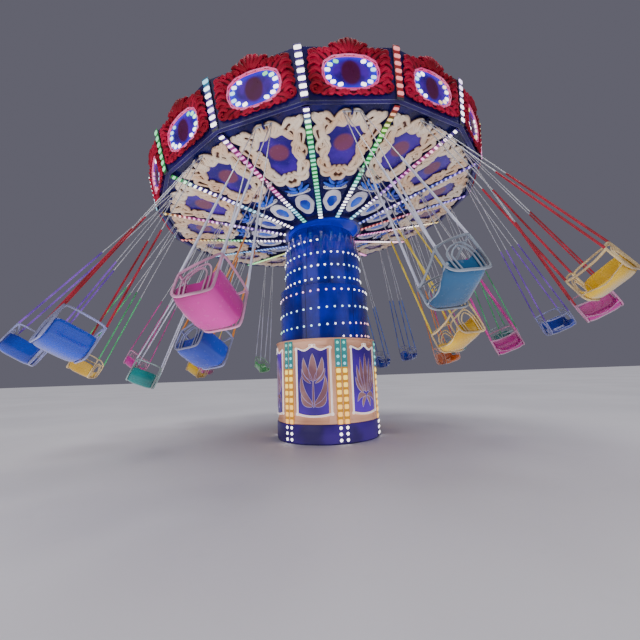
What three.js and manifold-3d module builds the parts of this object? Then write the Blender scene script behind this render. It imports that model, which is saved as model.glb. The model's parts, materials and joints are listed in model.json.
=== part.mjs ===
// Chair swing ride: a round plinth and drum carry a telescoping tower, and on it a tilting, turning
// canopy with two rings of chairs. Millimetres, +Z up, the ground at z = 0 under the middle of the
// tower. Azimuth 0 points to -Y, the front, and grows towards +X.
import * as THREE from 'three';
import { mergeVertices } from 'three/addons/utils/BufferGeometryUtils.js';
import Module from 'manifold-3d';

const wasm = await Module();
wasm.setup();

// Fits and clearances
const SEAT_GAP = 0.4;
const GUIDE_GAP = 0.5;
const OVERLAP = 20;
const JOIN_TOLERANCE = 0.02;

// Plinth, drum and lower sleeve
const DRUM_SIDES = 48;
const PLINTH_RADIUS = 1155;
const PLINTH_HEIGHT = 390;
const DRUM_RADIUS = 1120;
const DRUM_WALL = 15;
const DRUM_TOP = 2080;
const PILASTERS = 6;
const PILASTER_FACETS = 2;
const PILASTER_PROUD = 22;
const FIRST_PILASTER = THREE.MathUtils.degToRad(16);
const PANEL_PROUD = 16;
const PANEL_BOTTOM = 560;
const PANEL_TOP = 1950;
const PANEL_END_GAP = 0.01;
const TOP_RING_HEIGHT = 30;
const TOP_RING_INNER = 1000;
const TOP_RING_OUTER = 1150;
const SLEEVE_SIDES = 32;
const SLEEVE_WALL = 12;
const LOWER_SLEEVE_RADIUS = 1040;
const LOWER_SLEEVE_TOP = 3310;
const LOWER_SLEEVE_LIP = 935;

// Upper sleeve, mast and lift tube
const UPPER_SLEEVE_BOTTOM = 2628;
const UPPER_SLEEVE_BOTTOM_RADIUS = 925;
const SHOULDER_HEIGHT = 4300;
const SHOULDER_RADIUS = 905;
const UPPER_SLEEVE_TOP = 4730;
const UPPER_SLEEVE_TOP_RADIUS = 780;
const CAP_INNER_RADIUS = 365;
const CAP_RISE = 90;
const MAST_WIDTH = 620;
const MAST_TOP = 4000;
const MAST_BORE_BOTTOM = 2200;
const LIFT_WIDTH = 500;
const LIFT_WALL = 20;
const LIFT_BOTTOM = 3000;
const LIFT_TOP = 5040;
const LIFT_FLANGE_RADIUS = 465;
const LIFT_FLANGE_HEIGHT = 25;
const CAP_STEP_RADIUS = 470;

// Tilt pin, head and spin spigot, measured from the pin
const PIVOT_HEIGHT = 5280;
const TILT = Math.atan(0.099);
const PIN_RADIUS = 60;
const PIN_SIDES = 16;
const PIN_HALF_LENGTH = 235;
const CHEEK_INNER = 150;
const CHEEK_THICKNESS = 45;
const CHEEK_HALF_WIDTH = 130;
const CHEEK_TOP = 110;
const HEAD_HALF_WIDTH = 120;
const HEAD_BOTTOM = -110;
const HEAD_TOP = 180;
const BEARING_RADIUS = 400;
const BEARING_TOP = 230;
const SPIGOT_RADIUS = 120;
const SPIGOT_TOP = 330;

// Canopy, measured from the tilt pin along its own tilted axis
const SECTORS = 16;
const SECTOR = (2 * Math.PI) / SECTORS;
const CANOPY_TURN = -0.043;
const HUB_BORE_RADIUS = (SPIGOT_RADIUS + GUIDE_GAP) / Math.cos(SECTOR / 2);
const HUB_INNER = 868;
const HUB_OUTER = 900;
const HUB_LIP = 960;
const HUB_BOTTOM = -460;
const HUB_PLATE = 40;
const HUB_SHELF_INNER = 520;
const HUB_SHELF_Z = -360;
const HUB_SHELF_THICKNESS = 12;
const CEILING_INNER = 900.5;
const CEILING_OUTER = 3630;
const CEILING_INNER_Z = -419;
const CEILING_OUTER_Z = 43;
const CEILING_THICKNESS = 24;
const RIB_WIDTH = 110;
const RIB_DEPTH = 62;
const RIB_RING_INNER = 962;
const RIB_RING_OUTER = 1015;
const RIB_END = 3612;

// Rim and roof
const RIM_QUARTERS = 4;
const RIM_END_GAP = 0.0001;
const RIM_LOW_RADIUS = 3715;
const RIM_LOW_Z = 0;
const RIM_HIGH_RADIUS = 3832;
const RIM_HIGH_Z = 810;
const RIM_WALL = 40;
const RIM_LAP = 70;
const RIM_FLOOR = 30;
const RIM_LIP = 30;
const RIM_LIP_RISE = 16;
const RIM_INSIDE_Z = 95;
const STRIP_HALF_WIDTH = 60;
const STRIP_PROUD = 25;
const STRIP_END_GAP = 0.4;
const MEDALLION_SIDES = 12;
const MEDALLION_HALF_WIDTH = 430;
const MEDALLION_HALF_HEIGHT = 330;
const MEDALLION_PROUD = 60;
const CREST_PROUD = 40;
const CREST_HALF_WIDTH = 300;
const CREST_SHOULDER = 186;
const CREST_WAIST = 90;
const CREST_FOOT = -60;
const CREST_SIDE_TOP = 15;
const CREST_SHOULDER_TOP = 50;
const CREST_WAIST_TOP = 65;
const CREST_TOP = 120;
const LEDGE_WIDTH = 60;
const LEDGE_THICKNESS = 25;
const LEDGE_SLANT = 20;
const ROOF_LEDGE_Z = 740;
const ROOF_EDGE = 3765;
const ROOF_PEAK_Z = 1000;
const ROOF_THICKNESS = 20;

// Hangers and rods, measured from the hinge of a chair
const OUTER_RING_RADIUS = 3500;
const INNER_RING_RADIUS = 2450;
const HINGE_DROP = 66;
const INNER_CHAIRS = 8;
const LUG_THICKNESS = 30;
const LUG_HALF_WIDTH = 34;
const LUG_BORE_RADIUS = 13.3;
const LUG_BORE_SIDES = 8;
const BAR_RADIUS = 12;
const BAR_SIDES = 10;
const BAR_HALF_LENGTH = 150;
const OUTER_FLING = THREE.MathUtils.degToRad(30);
const INNER_FLING = THREE.MathUtils.degToRad(27);
const FLING_DROP = THREE.MathUtils.degToRad(14);
const FLING_DROP_AZIMUTH = THREE.MathUtils.degToRad(140);
const STRAY_FLINGS = {
  outer_chair_02: 2.6,
  outer_chair_06: -1.4,
  outer_chair_07: -3,
  outer_chair_12: 4,
  outer_chair_13: -1.4,
  outer_chair_14: 3.2,
  outer_chair_15: -1.8,
  inner_chair_4: 8,
  inner_chair_6: 5,
  inner_chair_7: -4,
  inner_chair_8: 2,
};
const ROD_RADIUS = 11;
const ROD_SIDES = 4;
const ROD_TOP_SPREAD = 132;
const ROD_TOP_APART = 12;

// Chairs, measured from the hinge, with the rider facing -Y
const CHAIR_HALF_WIDTH = 235;
const CHAIR_HALF_DEPTH = 190;
const CHAIR_BACK_TOP = -3330;
const CHAIR_ARM_FRONT = -3480;
const CHAIR_BOTTOM = -3800;
const FRAME_RADIUS = 13;
const LOOP_FOOT = 20;
const LOOP_CORNER = 60;
const CROSS_BAR = 22;
const CROSS_BAR_DROP = 40;
const SHELL_OVERLAP = 2;
const SHELL_BACK = 196;
const SHELL_BACK_INNER = 174;
const SHELL_BACK_DROP = 120;
const SHELL_HEEL = 150;
const SHELL_TOE = -170;
const SHELL_LIP = -204;
const SHELL_RISE = 70;
const SHELL_EDGE_RISE = 40;

const NAVY = 0x141a5c;
const PURPLE = 0x35147c;
const GOLD = 0xd8a070;
const RED = 0xb02036;
const STEEL = 0x9aa0a8;
const BLUE = 0x1f5fd0;
const YELLOW = 0xd3b030;
const TEAL = 0x168f9a;
const PINK = 0xd0328c;
const ORANGE = 0xd86a24;
const GREEN = 0x7fc8a0;
const OUTER_SEATS = [
  TEAL, YELLOW, PINK, BLUE, TEAL, TEAL, BLUE, ORANGE, BLUE, GREEN, PINK, PINK, YELLOW, BLUE, BLUE, PINK,
];
const INNER_SEATS = [YELLOW, PINK, ORANGE, BLUE, BLUE, YELLOW, TEAL, BLUE];

function material(color, roughness, metalness) {
  return new THREE.MeshStandardMaterial({ color, roughness, metalness });
}

// Solids from three.js geometry, joined and cut

function signedVolume(points, corners) {
  const at = (i) => new THREE.Vector3(points[3 * i], points[3 * i + 1], points[3 * i + 2]);
  let sum = 0;
  for (let i = 0; i < corners.length; i += 3) {
    sum += at(corners[i]).dot(at(corners[i + 1]).cross(at(corners[i + 2])));
  }
  return sum;
}

function solid(geometry) {
  const bare = geometry.clone();
  bare.deleteAttribute('normal');
  bare.deleteAttribute('uv');
  const merged = mergeVertices(bare, 1e-3);
  const points = Float32Array.from(merged.attributes.position.array);
  const corners = Array.from(merged.index.array);
  const keep = [];
  for (let i = 0; i < corners.length; i += 3) {
    const [a, b, c] = corners.slice(i, i + 3);
    if (a !== b && b !== c && c !== a) keep.push(a, b, c);
  }
  const outward = signedVolume(points, keep) < 0 ? keep.reverse() : keep;
  const mesh = new wasm.Mesh({ numProp: 3, vertProperties: points, triVerts: Uint32Array.from(outward) });
  return new wasm.Manifold(mesh);
}

function join(solids) {
  return solids.reduce((whole, next) => whole.add(next)).simplify(JOIN_TOLERANCE);
}

function toGeometry(body) {
  const mesh = body.getMesh();
  const geometry = new THREE.BufferGeometry();
  geometry.setAttribute('position', new THREE.BufferAttribute(Float32Array.from(mesh.vertProperties), 3));
  geometry.setIndex(Array.from(mesh.triVerts));
  geometry.computeVertexNormals();
  return geometry;
}

function piece(name, body, look) {
  const mesh = new THREE.Mesh(toGeometry(body), look);
  mesh.name = name;
  return mesh;
}

// A ring or disc turned about Z from a closed outline of [radius, height] points
function turned(outline, sides, firstAngle = 0) {
  const points = [...outline, outline[0]].map(([r, z]) => new THREE.Vector2(r, z));
  const geometry = new THREE.LatheGeometry(points, sides, firstAngle, 2 * Math.PI);
  return solid(geometry.rotateX(Math.PI / 2));
}

// The same outline swept through only some of the sides, with flat ends drawn in by endGap
function turnedPart(outline, step, first, count, endGap = 0) {
  const n = outline.length;
  const angles = Array.from({ length: count + 1 }, (_, i) => first + i * step);
  angles[0] += endGap;
  angles[count] -= endGap;
  const points = angles.flatMap((a) => outline.flatMap(([r, z]) => [r * Math.sin(a), -r * Math.cos(a), z]));
  const index = [];
  for (let i = 0; i < count; i += 1) {
    for (let j = 0; j < n; j += 1) {
      const a = i * n + j;
      const b = i * n + ((j + 1) % n);
      index.push(a, b, a + n, b, b + n, a + n);
    }
  }
  const flat = outline.map(([r, z]) => new THREE.Vector2(r, z));
  for (const [a, b, c] of THREE.ShapeUtils.triangulateShape(flat, [])) {
    index.push(a, c, b, a + count * n, b + count * n, c + count * n);
  }
  const geometry = new THREE.BufferGeometry();
  geometry.setAttribute('position', new THREE.Float32BufferAttribute(points, 3));
  geometry.setIndex(index);
  return solid(geometry);
}

function band(inner, outer, low, high) {
  return [[inner, low], [outer, low], [outer, high], [inner, high]];
}

function box(width, depth, height, x, y, z) {
  return solid(new THREE.BoxGeometry(width, depth, height).translate(x, y, z));
}

// A straight bar between two points
function bar(from, to, radius, sides) {
  const a = new THREE.Vector3(...from);
  const b = new THREE.Vector3(...to);
  const geometry = new THREE.CylinderGeometry(radius, radius, a.distanceTo(b), sides);
  const along = b.clone().sub(a).normalize();
  const turn = new THREE.Quaternion().setFromUnitVectors(new THREE.Vector3(0, 1, 0), along);
  geometry.applyQuaternion(turn);
  geometry.translate(...a.add(b).multiplyScalar(0.5).toArray());
  return solid(geometry);
}

function toShape(outline) {
  return new THREE.Shape(outline.map(([x, y]) => new THREE.Vector2(x, y)));
}

// A flat outline of [across, up] points, made thick along the third direction
function plate(outline, thickness) {
  return new THREE.ExtrudeGeometry(toShape(outline), { depth: thickness, bevelEnabled: false });
}

function azimuthMatrix(angle) {
  return new THREE.Matrix4().makeRotationZ(angle - Math.PI / 2);
}

// Base: plinth, drum, panels, ring, lower sleeve and mast

const DRUM_STEP = (2 * Math.PI) / DRUM_SIDES;
const PILASTER_STEP = (2 * Math.PI) / PILASTERS;
const DRUM_START = FIRST_PILASTER - (PILASTER_FACETS * DRUM_STEP) / 2;
const DRUM_INNER = DRUM_RADIUS - DRUM_WALL;

function makePlinth() {
  return turned(band(0, PLINTH_RADIUS, 0, PLINTH_HEIGHT), DRUM_SIDES, DRUM_START);
}

function makeDrum() {
  const low = PLINTH_HEIGHT + SEAT_GAP;
  const wall = turned(band(DRUM_INNER, DRUM_RADIUS, low, DRUM_TOP), DRUM_SIDES, DRUM_START);
  const outline = band(DRUM_INNER, DRUM_RADIUS + PILASTER_PROUD, low, DRUM_TOP);
  const pilasters = [];
  for (let i = 0; i < PILASTERS; i += 1) {
    pilasters.push(turnedPart(outline, DRUM_STEP, DRUM_START + i * PILASTER_STEP, PILASTER_FACETS));
  }
  return join([wall, ...pilasters]);
}

function makePanel(i) {
  const outline = band(DRUM_RADIUS + SEAT_GAP, DRUM_RADIUS + PANEL_PROUD, PANEL_BOTTOM, PANEL_TOP);
  const first = DRUM_START + i * PILASTER_STEP + PILASTER_FACETS * DRUM_STEP;
  const facets = DRUM_SIDES / PILASTERS - PILASTER_FACETS;
  return turnedPart(outline, DRUM_STEP, first, facets, PANEL_END_GAP);
}

function makeDrumTopRing() {
  const outline = band(TOP_RING_INNER, TOP_RING_OUTER, DRUM_TOP + SEAT_GAP, DRUM_TOP + TOP_RING_HEIGHT);
  return turned(outline, DRUM_SIDES, DRUM_START);
}

function makeLowerSleeve() {
  const low = DRUM_TOP + TOP_RING_HEIGHT + SEAT_GAP;
  const inner = LOWER_SLEEVE_RADIUS - SLEEVE_WALL;
  const top = LOWER_SLEEVE_TOP;
  return turned([
    [inner, low],
    [LOWER_SLEEVE_RADIUS, low],
    [LOWER_SLEEVE_RADIUS, top],
    [LOWER_SLEEVE_LIP, top],
    [LOWER_SLEEVE_LIP, top - SLEEVE_WALL],
    [inner, top - SLEEVE_WALL],
  ], SLEEVE_SIDES);
}

function makeMast() {
  const low = PLINTH_HEIGHT + SEAT_GAP;
  const bore = LIFT_WIDTH + 2 * GUIDE_GAP;
  const post = box(MAST_WIDTH, MAST_WIDTH, MAST_TOP - low, 0, 0, (MAST_TOP + low) / 2);
  const hollow = box(bore, bore, MAST_TOP, 0, 0, MAST_BORE_BOTTOM + MAST_TOP / 2);
  return post.subtract(hollow);
}

// Lift: upper sleeve and lift tube

function makeUpperSleeve() {
  const top = UPPER_SLEEVE_TOP;
  const cap = top + CAP_RISE;
  return turned([
    [UPPER_SLEEVE_BOTTOM_RADIUS - SLEEVE_WALL, UPPER_SLEEVE_BOTTOM],
    [UPPER_SLEEVE_BOTTOM_RADIUS, UPPER_SLEEVE_BOTTOM],
    [SHOULDER_RADIUS, SHOULDER_HEIGHT],
    [UPPER_SLEEVE_TOP_RADIUS, top],
    [CAP_INNER_RADIUS, cap],
    [CAP_INNER_RADIUS, cap - SLEEVE_WALL],
    [CAP_STEP_RADIUS, cap - SLEEVE_WALL],
    [UPPER_SLEEVE_TOP_RADIUS - SLEEVE_WALL, top - SLEEVE_WALL],
    [SHOULDER_RADIUS - SLEEVE_WALL, SHOULDER_HEIGHT - SLEEVE_WALL],
  ], SLEEVE_SIDES);
}

function makeCheek(side) {
  const y = side * (CHEEK_INNER + CHEEK_THICKNESS / 2);
  const low = LIFT_TOP - LIFT_WALL;
  const height = PIVOT_HEIGHT + CHEEK_TOP - low;
  const cheek = box(2 * CHEEK_HALF_WIDTH, CHEEK_THICKNESS, height, 0, y, low + height / 2);
  const bore = (PIN_RADIUS + GUIDE_GAP) / Math.cos(Math.PI / PIN_SIDES);
  const from = [0, y - CHEEK_THICKNESS, PIVOT_HEIGHT];
  const to = [0, y + CHEEK_THICKNESS, PIVOT_HEIGHT];
  return cheek.subtract(bar(from, to, bore, PIN_SIDES));
}

function makeLiftTube() {
  const inner = LIFT_WIDTH - 2 * LIFT_WALL;
  const hollowTop = LIFT_TOP - 2 * LIFT_WALL;
  const hollowLow = LIFT_BOTTOM - OVERLAP;
  const tube = box(LIFT_WIDTH, LIFT_WIDTH, LIFT_TOP - LIFT_BOTTOM, 0, 0, (LIFT_TOP + LIFT_BOTTOM) / 2);
  const hollow = box(inner, inner, hollowTop - hollowLow, 0, 0, (hollowTop + hollowLow) / 2);
  const flangeTop = UPPER_SLEEVE_TOP + CAP_RISE - SLEEVE_WALL - SEAT_GAP;
  const flange = turned(band(0, LIFT_FLANGE_RADIUS, flangeTop - LIFT_FLANGE_HEIGHT, flangeTop), SLEEVE_SIDES);
  return join([tube, flange]).subtract(hollow).add(makeCheek(-1)).add(makeCheek(1));
}

// Tilt: the head on the tilt pin, with the bearing face and the spigot that the canopy turns on

function makeTiltHead() {
  const half = CHEEK_INNER - GUIDE_GAP;
  const block = box(2 * HEAD_HALF_WIDTH, 2 * half, HEAD_TOP - HEAD_BOTTOM, 0, 0, (HEAD_TOP + HEAD_BOTTOM) / 2);
  const pin = bar([0, -PIN_HALF_LENGTH, 0], [0, PIN_HALF_LENGTH, 0], PIN_RADIUS, PIN_SIDES);
  const bearing = turned([
    [0, HEAD_TOP - 1],
    [BEARING_RADIUS, HEAD_TOP - 1],
    [BEARING_RADIUS, BEARING_TOP],
    [SPIGOT_RADIUS, BEARING_TOP],
    [SPIGOT_RADIUS, SPIGOT_TOP],
    [0, SPIGOT_TOP],
  ], SLEEVE_SIDES);
  return join([block, pin, bearing]);
}

// Canopy: hub, ceiling with the outer lugs, lamp ribs with the inner lugs, rim and roof

function ceilingZ(radius) {
  const slope = (CEILING_OUTER_Z - CEILING_INNER_Z) / (CEILING_OUTER - CEILING_INNER);
  return CEILING_INNER_Z + slope * (radius - CEILING_INNER);
}

// The slanting band between two heights measured from the ceiling's underside
function ceilingBand(inner, outer, below, above) {
  return [
    [inner, ceilingZ(inner) + below],
    [outer, ceilingZ(outer) + below],
    [outer, ceilingZ(outer) + above],
    [inner, ceilingZ(inner) + above],
  ];
}

function hingeHeight(radius) {
  const ribDepth = radius === INNER_RING_RADIUS ? RIB_DEPTH : 0;
  return ceilingZ(radius) - ribDepth - HINGE_DROP;
}

function outerAngle(k) {
  return (k + 0.5) * SECTOR;
}

function innerAngle(k) {
  return (2 * k + 1) * SECTOR;
}

function makeHub() {
  const low = BEARING_TOP + SEAT_GAP;
  const high = low + HUB_PLATE;
  const shelfLow = HUB_SHELF_Z - HUB_SHELF_THICKNESS;
  return turned([
    [HUB_BORE_RADIUS, low],
    [HUB_INNER, low],
    [HUB_INNER, HUB_SHELF_Z],
    [HUB_SHELF_INNER, HUB_SHELF_Z],
    [HUB_SHELF_INNER, shelfLow],
    [HUB_INNER, shelfLow],
    [HUB_INNER, HUB_BOTTOM],
    [HUB_LIP, HUB_BOTTOM],
    [HUB_LIP, ceilingZ(HUB_LIP) - SEAT_GAP],
    [HUB_OUTER, ceilingZ(HUB_OUTER) - SEAT_GAP],
    [HUB_OUTER, high],
    [HUB_BORE_RADIUS, high],
  ], SECTORS);
}

// A hanger lug below height topZ, with the bore for the hinge bar across it
function makeLug(angle, radius, topZ) {
  const hingeZ = hingeHeight(radius);
  const low = hingeZ - LUG_HALF_WIDTH;
  const turn = azimuthMatrix(angle);
  const block = new THREE.BoxGeometry(2 * LUG_HALF_WIDTH, LUG_THICKNESS, topZ - low);
  block.translate(radius, 0, (topZ + low) / 2);
  const bore = new THREE.CylinderGeometry(LUG_BORE_RADIUS, LUG_BORE_RADIUS, 2 * LUG_THICKNESS, LUG_BORE_SIDES);
  bore.translate(radius, 0, hingeZ);
  return solid(block.applyMatrix4(turn)).subtract(solid(bore.applyMatrix4(turn)));
}

function makeCeiling() {
  const parts = [turned(ceilingBand(CEILING_INNER, CEILING_OUTER, 0, CEILING_THICKNESS), SECTORS)];
  const lugTop = ceilingZ(OUTER_RING_RADIUS) + CEILING_THICKNESS;
  for (let k = 0; k < SECTORS; k += 1) parts.push(makeLug(outerAngle(k), OUTER_RING_RADIUS, lugTop));
  return join(parts);
}

function makeRibs() {
  const start = (RIB_RING_INNER + RIB_RING_OUTER) / 2;
  const parts = [turned(ceilingBand(RIB_RING_INNER, RIB_RING_OUTER, -RIB_DEPTH, -SEAT_GAP), SECTORS)];
  for (let k = 0; k < SECTORS; k += 1) {
    const rib = plate(ceilingBand(start, RIB_END, -RIB_DEPTH, -SEAT_GAP), RIB_WIDTH);
    rib.translate(0, 0, -RIB_WIDTH / 2).rotateX(Math.PI / 2);
    parts.push(solid(rib.applyMatrix4(azimuthMatrix(k * SECTOR))));
  }
  const lugTop = ceilingZ(INNER_RING_RADIUS) - RIB_DEPTH / 2;
  for (let k = 0; k < INNER_CHAIRS; k += 1) parts.push(makeLug(innerAngle(k), INNER_RING_RADIUS, lugTop));
  return join(parts);
}

// The rim's face leans outwards. Shapes on it are given across the sector and up the face.
const RIM_LEAN = Math.atan2(RIM_HIGH_RADIUS - RIM_LOW_RADIUS, RIM_HIGH_Z - RIM_LOW_Z);
const RIM_FACE_HEIGHT = Math.hypot(RIM_HIGH_RADIUS - RIM_LOW_RADIUS, RIM_HIGH_Z - RIM_LOW_Z);

function onRimFace(outline, proud, angle, faceRadius) {
  const geometry = plate(outline, proud + OVERLAP).translate(0, 0, -OVERLAP);
  geometry.rotateX(Math.PI / 2).rotateZ(Math.PI / 2).rotateY(RIM_LEAN);
  geometry.translate(faceRadius, 0, RIM_LOW_Z);
  return solid(geometry.applyMatrix4(azimuthMatrix(angle)));
}

function medallionOutline() {
  const points = [];
  for (let i = 0; i < MEDALLION_SIDES; i += 1) {
    const a = (2 * Math.PI * i) / MEDALLION_SIDES;
    const up = RIM_FACE_HEIGHT / 2 + MEDALLION_HALF_HEIGHT * Math.sin(a);
    points.push([MEDALLION_HALF_WIDTH * Math.cos(a), up]);
  }
  return points;
}

function crestOutline() {
  const right = [
    [CREST_HALF_WIDTH, CREST_FOOT],
    [CREST_HALF_WIDTH, CREST_SIDE_TOP],
    [CREST_SHOULDER, CREST_SHOULDER_TOP],
    [CREST_WAIST, CREST_WAIST_TOP],
  ];
  const left = right.map(([x, y]) => [-x, y]).reverse();
  return [...right, [0, CREST_TOP], ...left].map(([x, y]) => [x, y + RIM_FACE_HEIGHT]);
}

function rimOutline() {
  const foot = CEILING_OUTER - RIM_LAP;
  const lip = CEILING_OUTER + GUIDE_GAP;
  const overCeiling = CEILING_THICKNESS + SEAT_GAP;
  const slope = (RIM_HIGH_RADIUS - RIM_LOW_RADIUS) / (RIM_HIGH_Z - RIM_LOW_Z);
  const innerAt = (z) => RIM_LOW_RADIUS - RIM_WALL + (z - RIM_LOW_Z) * slope;
  const ledgeInner = ROOF_EDGE - LEDGE_WIDTH;
  const ledgeLow = ROOF_LEDGE_Z - LEDGE_THICKNESS;
  return [
    [foot, ceilingZ(foot) + overCeiling],
    [lip, ceilingZ(lip) + overCeiling],
    [lip, RIM_LOW_Z + RIM_LIP_RISE],
    [lip + RIM_LIP, RIM_LOW_Z],
    [RIM_LOW_RADIUS, RIM_LOW_Z],
    [RIM_HIGH_RADIUS, RIM_HIGH_Z],
    [innerAt(RIM_HIGH_Z), RIM_HIGH_Z],
    [innerAt(ROOF_LEDGE_Z), ROOF_LEDGE_Z],
    [ledgeInner, ROOF_LEDGE_Z],
    [ledgeInner, ledgeLow],
    [innerAt(ledgeLow - LEDGE_SLANT), ledgeLow - LEDGE_SLANT],
    [innerAt(RIM_INSIDE_Z), RIM_INSIDE_Z],
    [foot, ceilingZ(foot) + overCeiling + RIM_FLOOR],
  ];
}

// The upright lamp strips stand on the rim's corners, and those at a quarter's ends are halved
function makeStrip(angle, from, to) {
  const outline = [[from, 0], [to, 0], [to, RIM_FACE_HEIGHT], [from, RIM_FACE_HEIGHT]];
  return onRimFace(outline, STRIP_PROUD, angle, RIM_LOW_RADIUS);
}

function makeRimQuarter(q) {
  const sectors = SECTORS / RIM_QUARTERS;
  const first = q * sectors * SECTOR;
  const flatRadius = RIM_LOW_RADIUS * Math.cos(SECTOR / 2);
  const parts = [turnedPart(rimOutline(), SECTOR, first, sectors, RIM_END_GAP)];
  for (let k = 0; k < sectors; k += 1) {
    const middle = first + (k + 0.5) * SECTOR;
    parts.push(onRimFace(medallionOutline(), MEDALLION_PROUD, middle, flatRadius));
    parts.push(onRimFace(crestOutline(), CREST_PROUD, middle, flatRadius));
  }
  for (let k = 0; k <= sectors; k += 1) {
    const from = k === 0 ? STRIP_END_GAP : -STRIP_HALF_WIDTH;
    const to = k === sectors ? -STRIP_END_GAP : STRIP_HALF_WIDTH;
    parts.push(makeStrip(first + k * SECTOR, from, to));
  }
  return join(parts);
}

function makeRoof() {
  const low = ROOF_LEDGE_Z + SEAT_GAP;
  return turned([
    [0, ROOF_PEAK_Z],
    [ROOF_EDGE, low + ROOF_THICKNESS],
    [ROOF_EDGE, low],
    [ROOF_EDGE - LEDGE_WIDTH, low],
    [0, ROOF_PEAK_Z - ROOF_THICKNESS],
  ], SECTORS);
}

// One chair with its hinge bar and rods. X points outwards from the tower.

// An outline of [y, z] points made thick along X from x = 0
function acrossX(outline, thickness, hole) {
  const shape = toShape(outline);
  if (hole) shape.holes.push(new THREE.Path(hole.map(([y, z]) => new THREE.Vector2(y, z))));
  const geometry = new THREE.ExtrudeGeometry(shape, { depth: thickness, bevelEnabled: false });
  return solid(geometry.rotateX(Math.PI / 2).rotateZ(Math.PI / 2));
}

// The tube loop at one side: up the back, along the arm, down the front and under the seat
function makeSideLoop() {
  const d = CHAIR_HALF_DEPTH;
  const r = FRAME_RADIUS;
  const tubeWidth = 2 * r;
  const foot = CHAIR_BOTTOM + LOOP_FOOT;
  const loop = (g) => [
    [d + r - g, CHAIR_BACK_TOP + r - g],
    [d - tubeWidth + g, CHAIR_BACK_TOP + r - g],
    [-d - r + g, CHAIR_ARM_FRONT + r - g],
    [-d - r + g, CHAIR_BOTTOM + LOOP_CORNER - r + g],
    [-d + LOOP_CORNER - r + g, foot - r + g],
    [d + r - g, foot - r + g],
  ];
  return acrossX(loop(0), tubeWidth, loop(tubeWidth));
}

function makeSeatShell() {
  const sideZ = CHAIR_BOTTOM + SHELL_EDGE_RISE;
  const floorZ = CHAIR_BOTTOM + SHELL_RISE;
  const backZ = CHAIR_BACK_TOP - SHELL_BACK_DROP;
  const outline = [
    [SHELL_BACK, backZ],
    [SHELL_BACK_INNER, backZ],
    [SHELL_HEEL, floorZ],
    [SHELL_TOE, floorZ],
    [SHELL_LIP, sideZ],
    [0, CHAIR_BOTTOM],
    [SHELL_BACK, sideZ],
  ];
  const half = CHAIR_HALF_WIDTH - FRAME_RADIUS + SHELL_OVERLAP;
  return acrossX(outline, 2 * half).translate([-half, 0, 0]);
}

function makeChair() {
  const w = CHAIR_HALF_WIDTH;
  const d = CHAIR_HALF_DEPTH;
  const rod = (from, to) => bar(from, to, ROD_RADIUS, ROD_SIDES);
  const parts = [bar([0, -BAR_HALF_LENGTH, 0], [0, BAR_HALF_LENGTH, 0], BAR_RADIUS, BAR_SIDES)];
  for (const side of [-1, 1]) {
    const x = side * w;
    const top = side * ROD_TOP_APART;
    parts.push(rod([top, -ROD_TOP_SPREAD, 0], [x, FRAME_RADIUS - d, CHAIR_ARM_FRONT]));
    parts.push(rod([top, ROD_TOP_SPREAD, 0], [x, d - FRAME_RADIUS, CHAIR_BACK_TOP]));
    parts.push(makeSideLoop().translate([x - FRAME_RADIUS, 0, 0]));
  }
  parts.push(box(2 * w, CROSS_BAR, CROSS_BAR, 0, d, CHAIR_BACK_TOP - CROSS_BAR_DROP));
  parts.push(box(2 * w, CROSS_BAR, CROSS_BAR, 0, -d, CHAIR_ARM_FRONT - CROSS_BAR_DROP));
  parts.push(makeSeatShell());
  return join(parts);
}

// Assembly

const ride = new THREE.Group();
const navy = material(NAVY, 0.3, 0.1);
const purple = material(PURPLE, 0.4, 0);
const gold = material(GOLD, 0.45, 0.2);
const red = material(RED, 0.4, 0.1);
const steel = material(STEEL, 0.4, 0.8);

ride.add(piece('plinth', makePlinth(), navy));
ride.add(piece('drum', makeDrum(), gold));
for (let i = 0; i < PILASTERS; i += 1) ride.add(piece(`drum_panel_${i + 1}`, makePanel(i), purple));
ride.add(piece('drum_top_ring', makeDrumTopRing(), gold));
ride.add(piece('lower_sleeve', makeLowerSleeve(), navy));
ride.add(piece('mast', makeMast(), steel));
ride.add(piece('upper_sleeve', makeUpperSleeve(), navy));
ride.add(piece('lift_tube', makeLiftTube(), steel));

const tilting = new THREE.Group();
tilting.position.z = PIVOT_HEIGHT;
tilting.rotation.y = -TILT;
ride.add(tilting);
tilting.add(piece('tilt_head', makeTiltHead(), steel));

const canopy = new THREE.Group();
canopy.rotation.z = CANOPY_TURN;
tilting.add(canopy);
canopy.add(piece('canopy_hub', makeHub(), navy));
canopy.add(piece('canopy_ceiling', makeCeiling(), navy));
canopy.add(piece('lamp_ribs', makeRibs(), steel));
for (let q = 0; q < RIM_QUARTERS; q += 1) canopy.add(piece(`rim_quarter_${q + 1}`, makeRimQuarter(q), red));
canopy.add(piece('canopy_roof', makeRoof(), navy));

// The fling is measured from the vertical, so the canopy's tilt is taken off it at each azimuth.
// A chair flies lower behind the tower's right side, where the tilted canopy carries it upwards,
// and some chairs stray by a few degrees from the wave of their ring.
function hangChair(name, angle, radius, fling, colour) {
  const azimuth = angle + CANOPY_TURN;
  const climb = ((1 + Math.cos(azimuth - FLING_DROP_AZIMUTH)) / 2) ** 2;
  const hanger = new THREE.Group();
  hanger.rotation.z = angle - Math.PI / 2;
  canopy.add(hanger);
  const chair = piece(name, makeChair(), material(colour, 0.4, 0));
  chair.position.set(radius, 0, hingeHeight(radius));
  const stray = THREE.MathUtils.degToRad(STRAY_FLINGS[name] ?? 0);
  chair.rotation.y = TILT * Math.sin(azimuth) + FLING_DROP * climb - fling - stray;
  hanger.add(chair);
}

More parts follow.
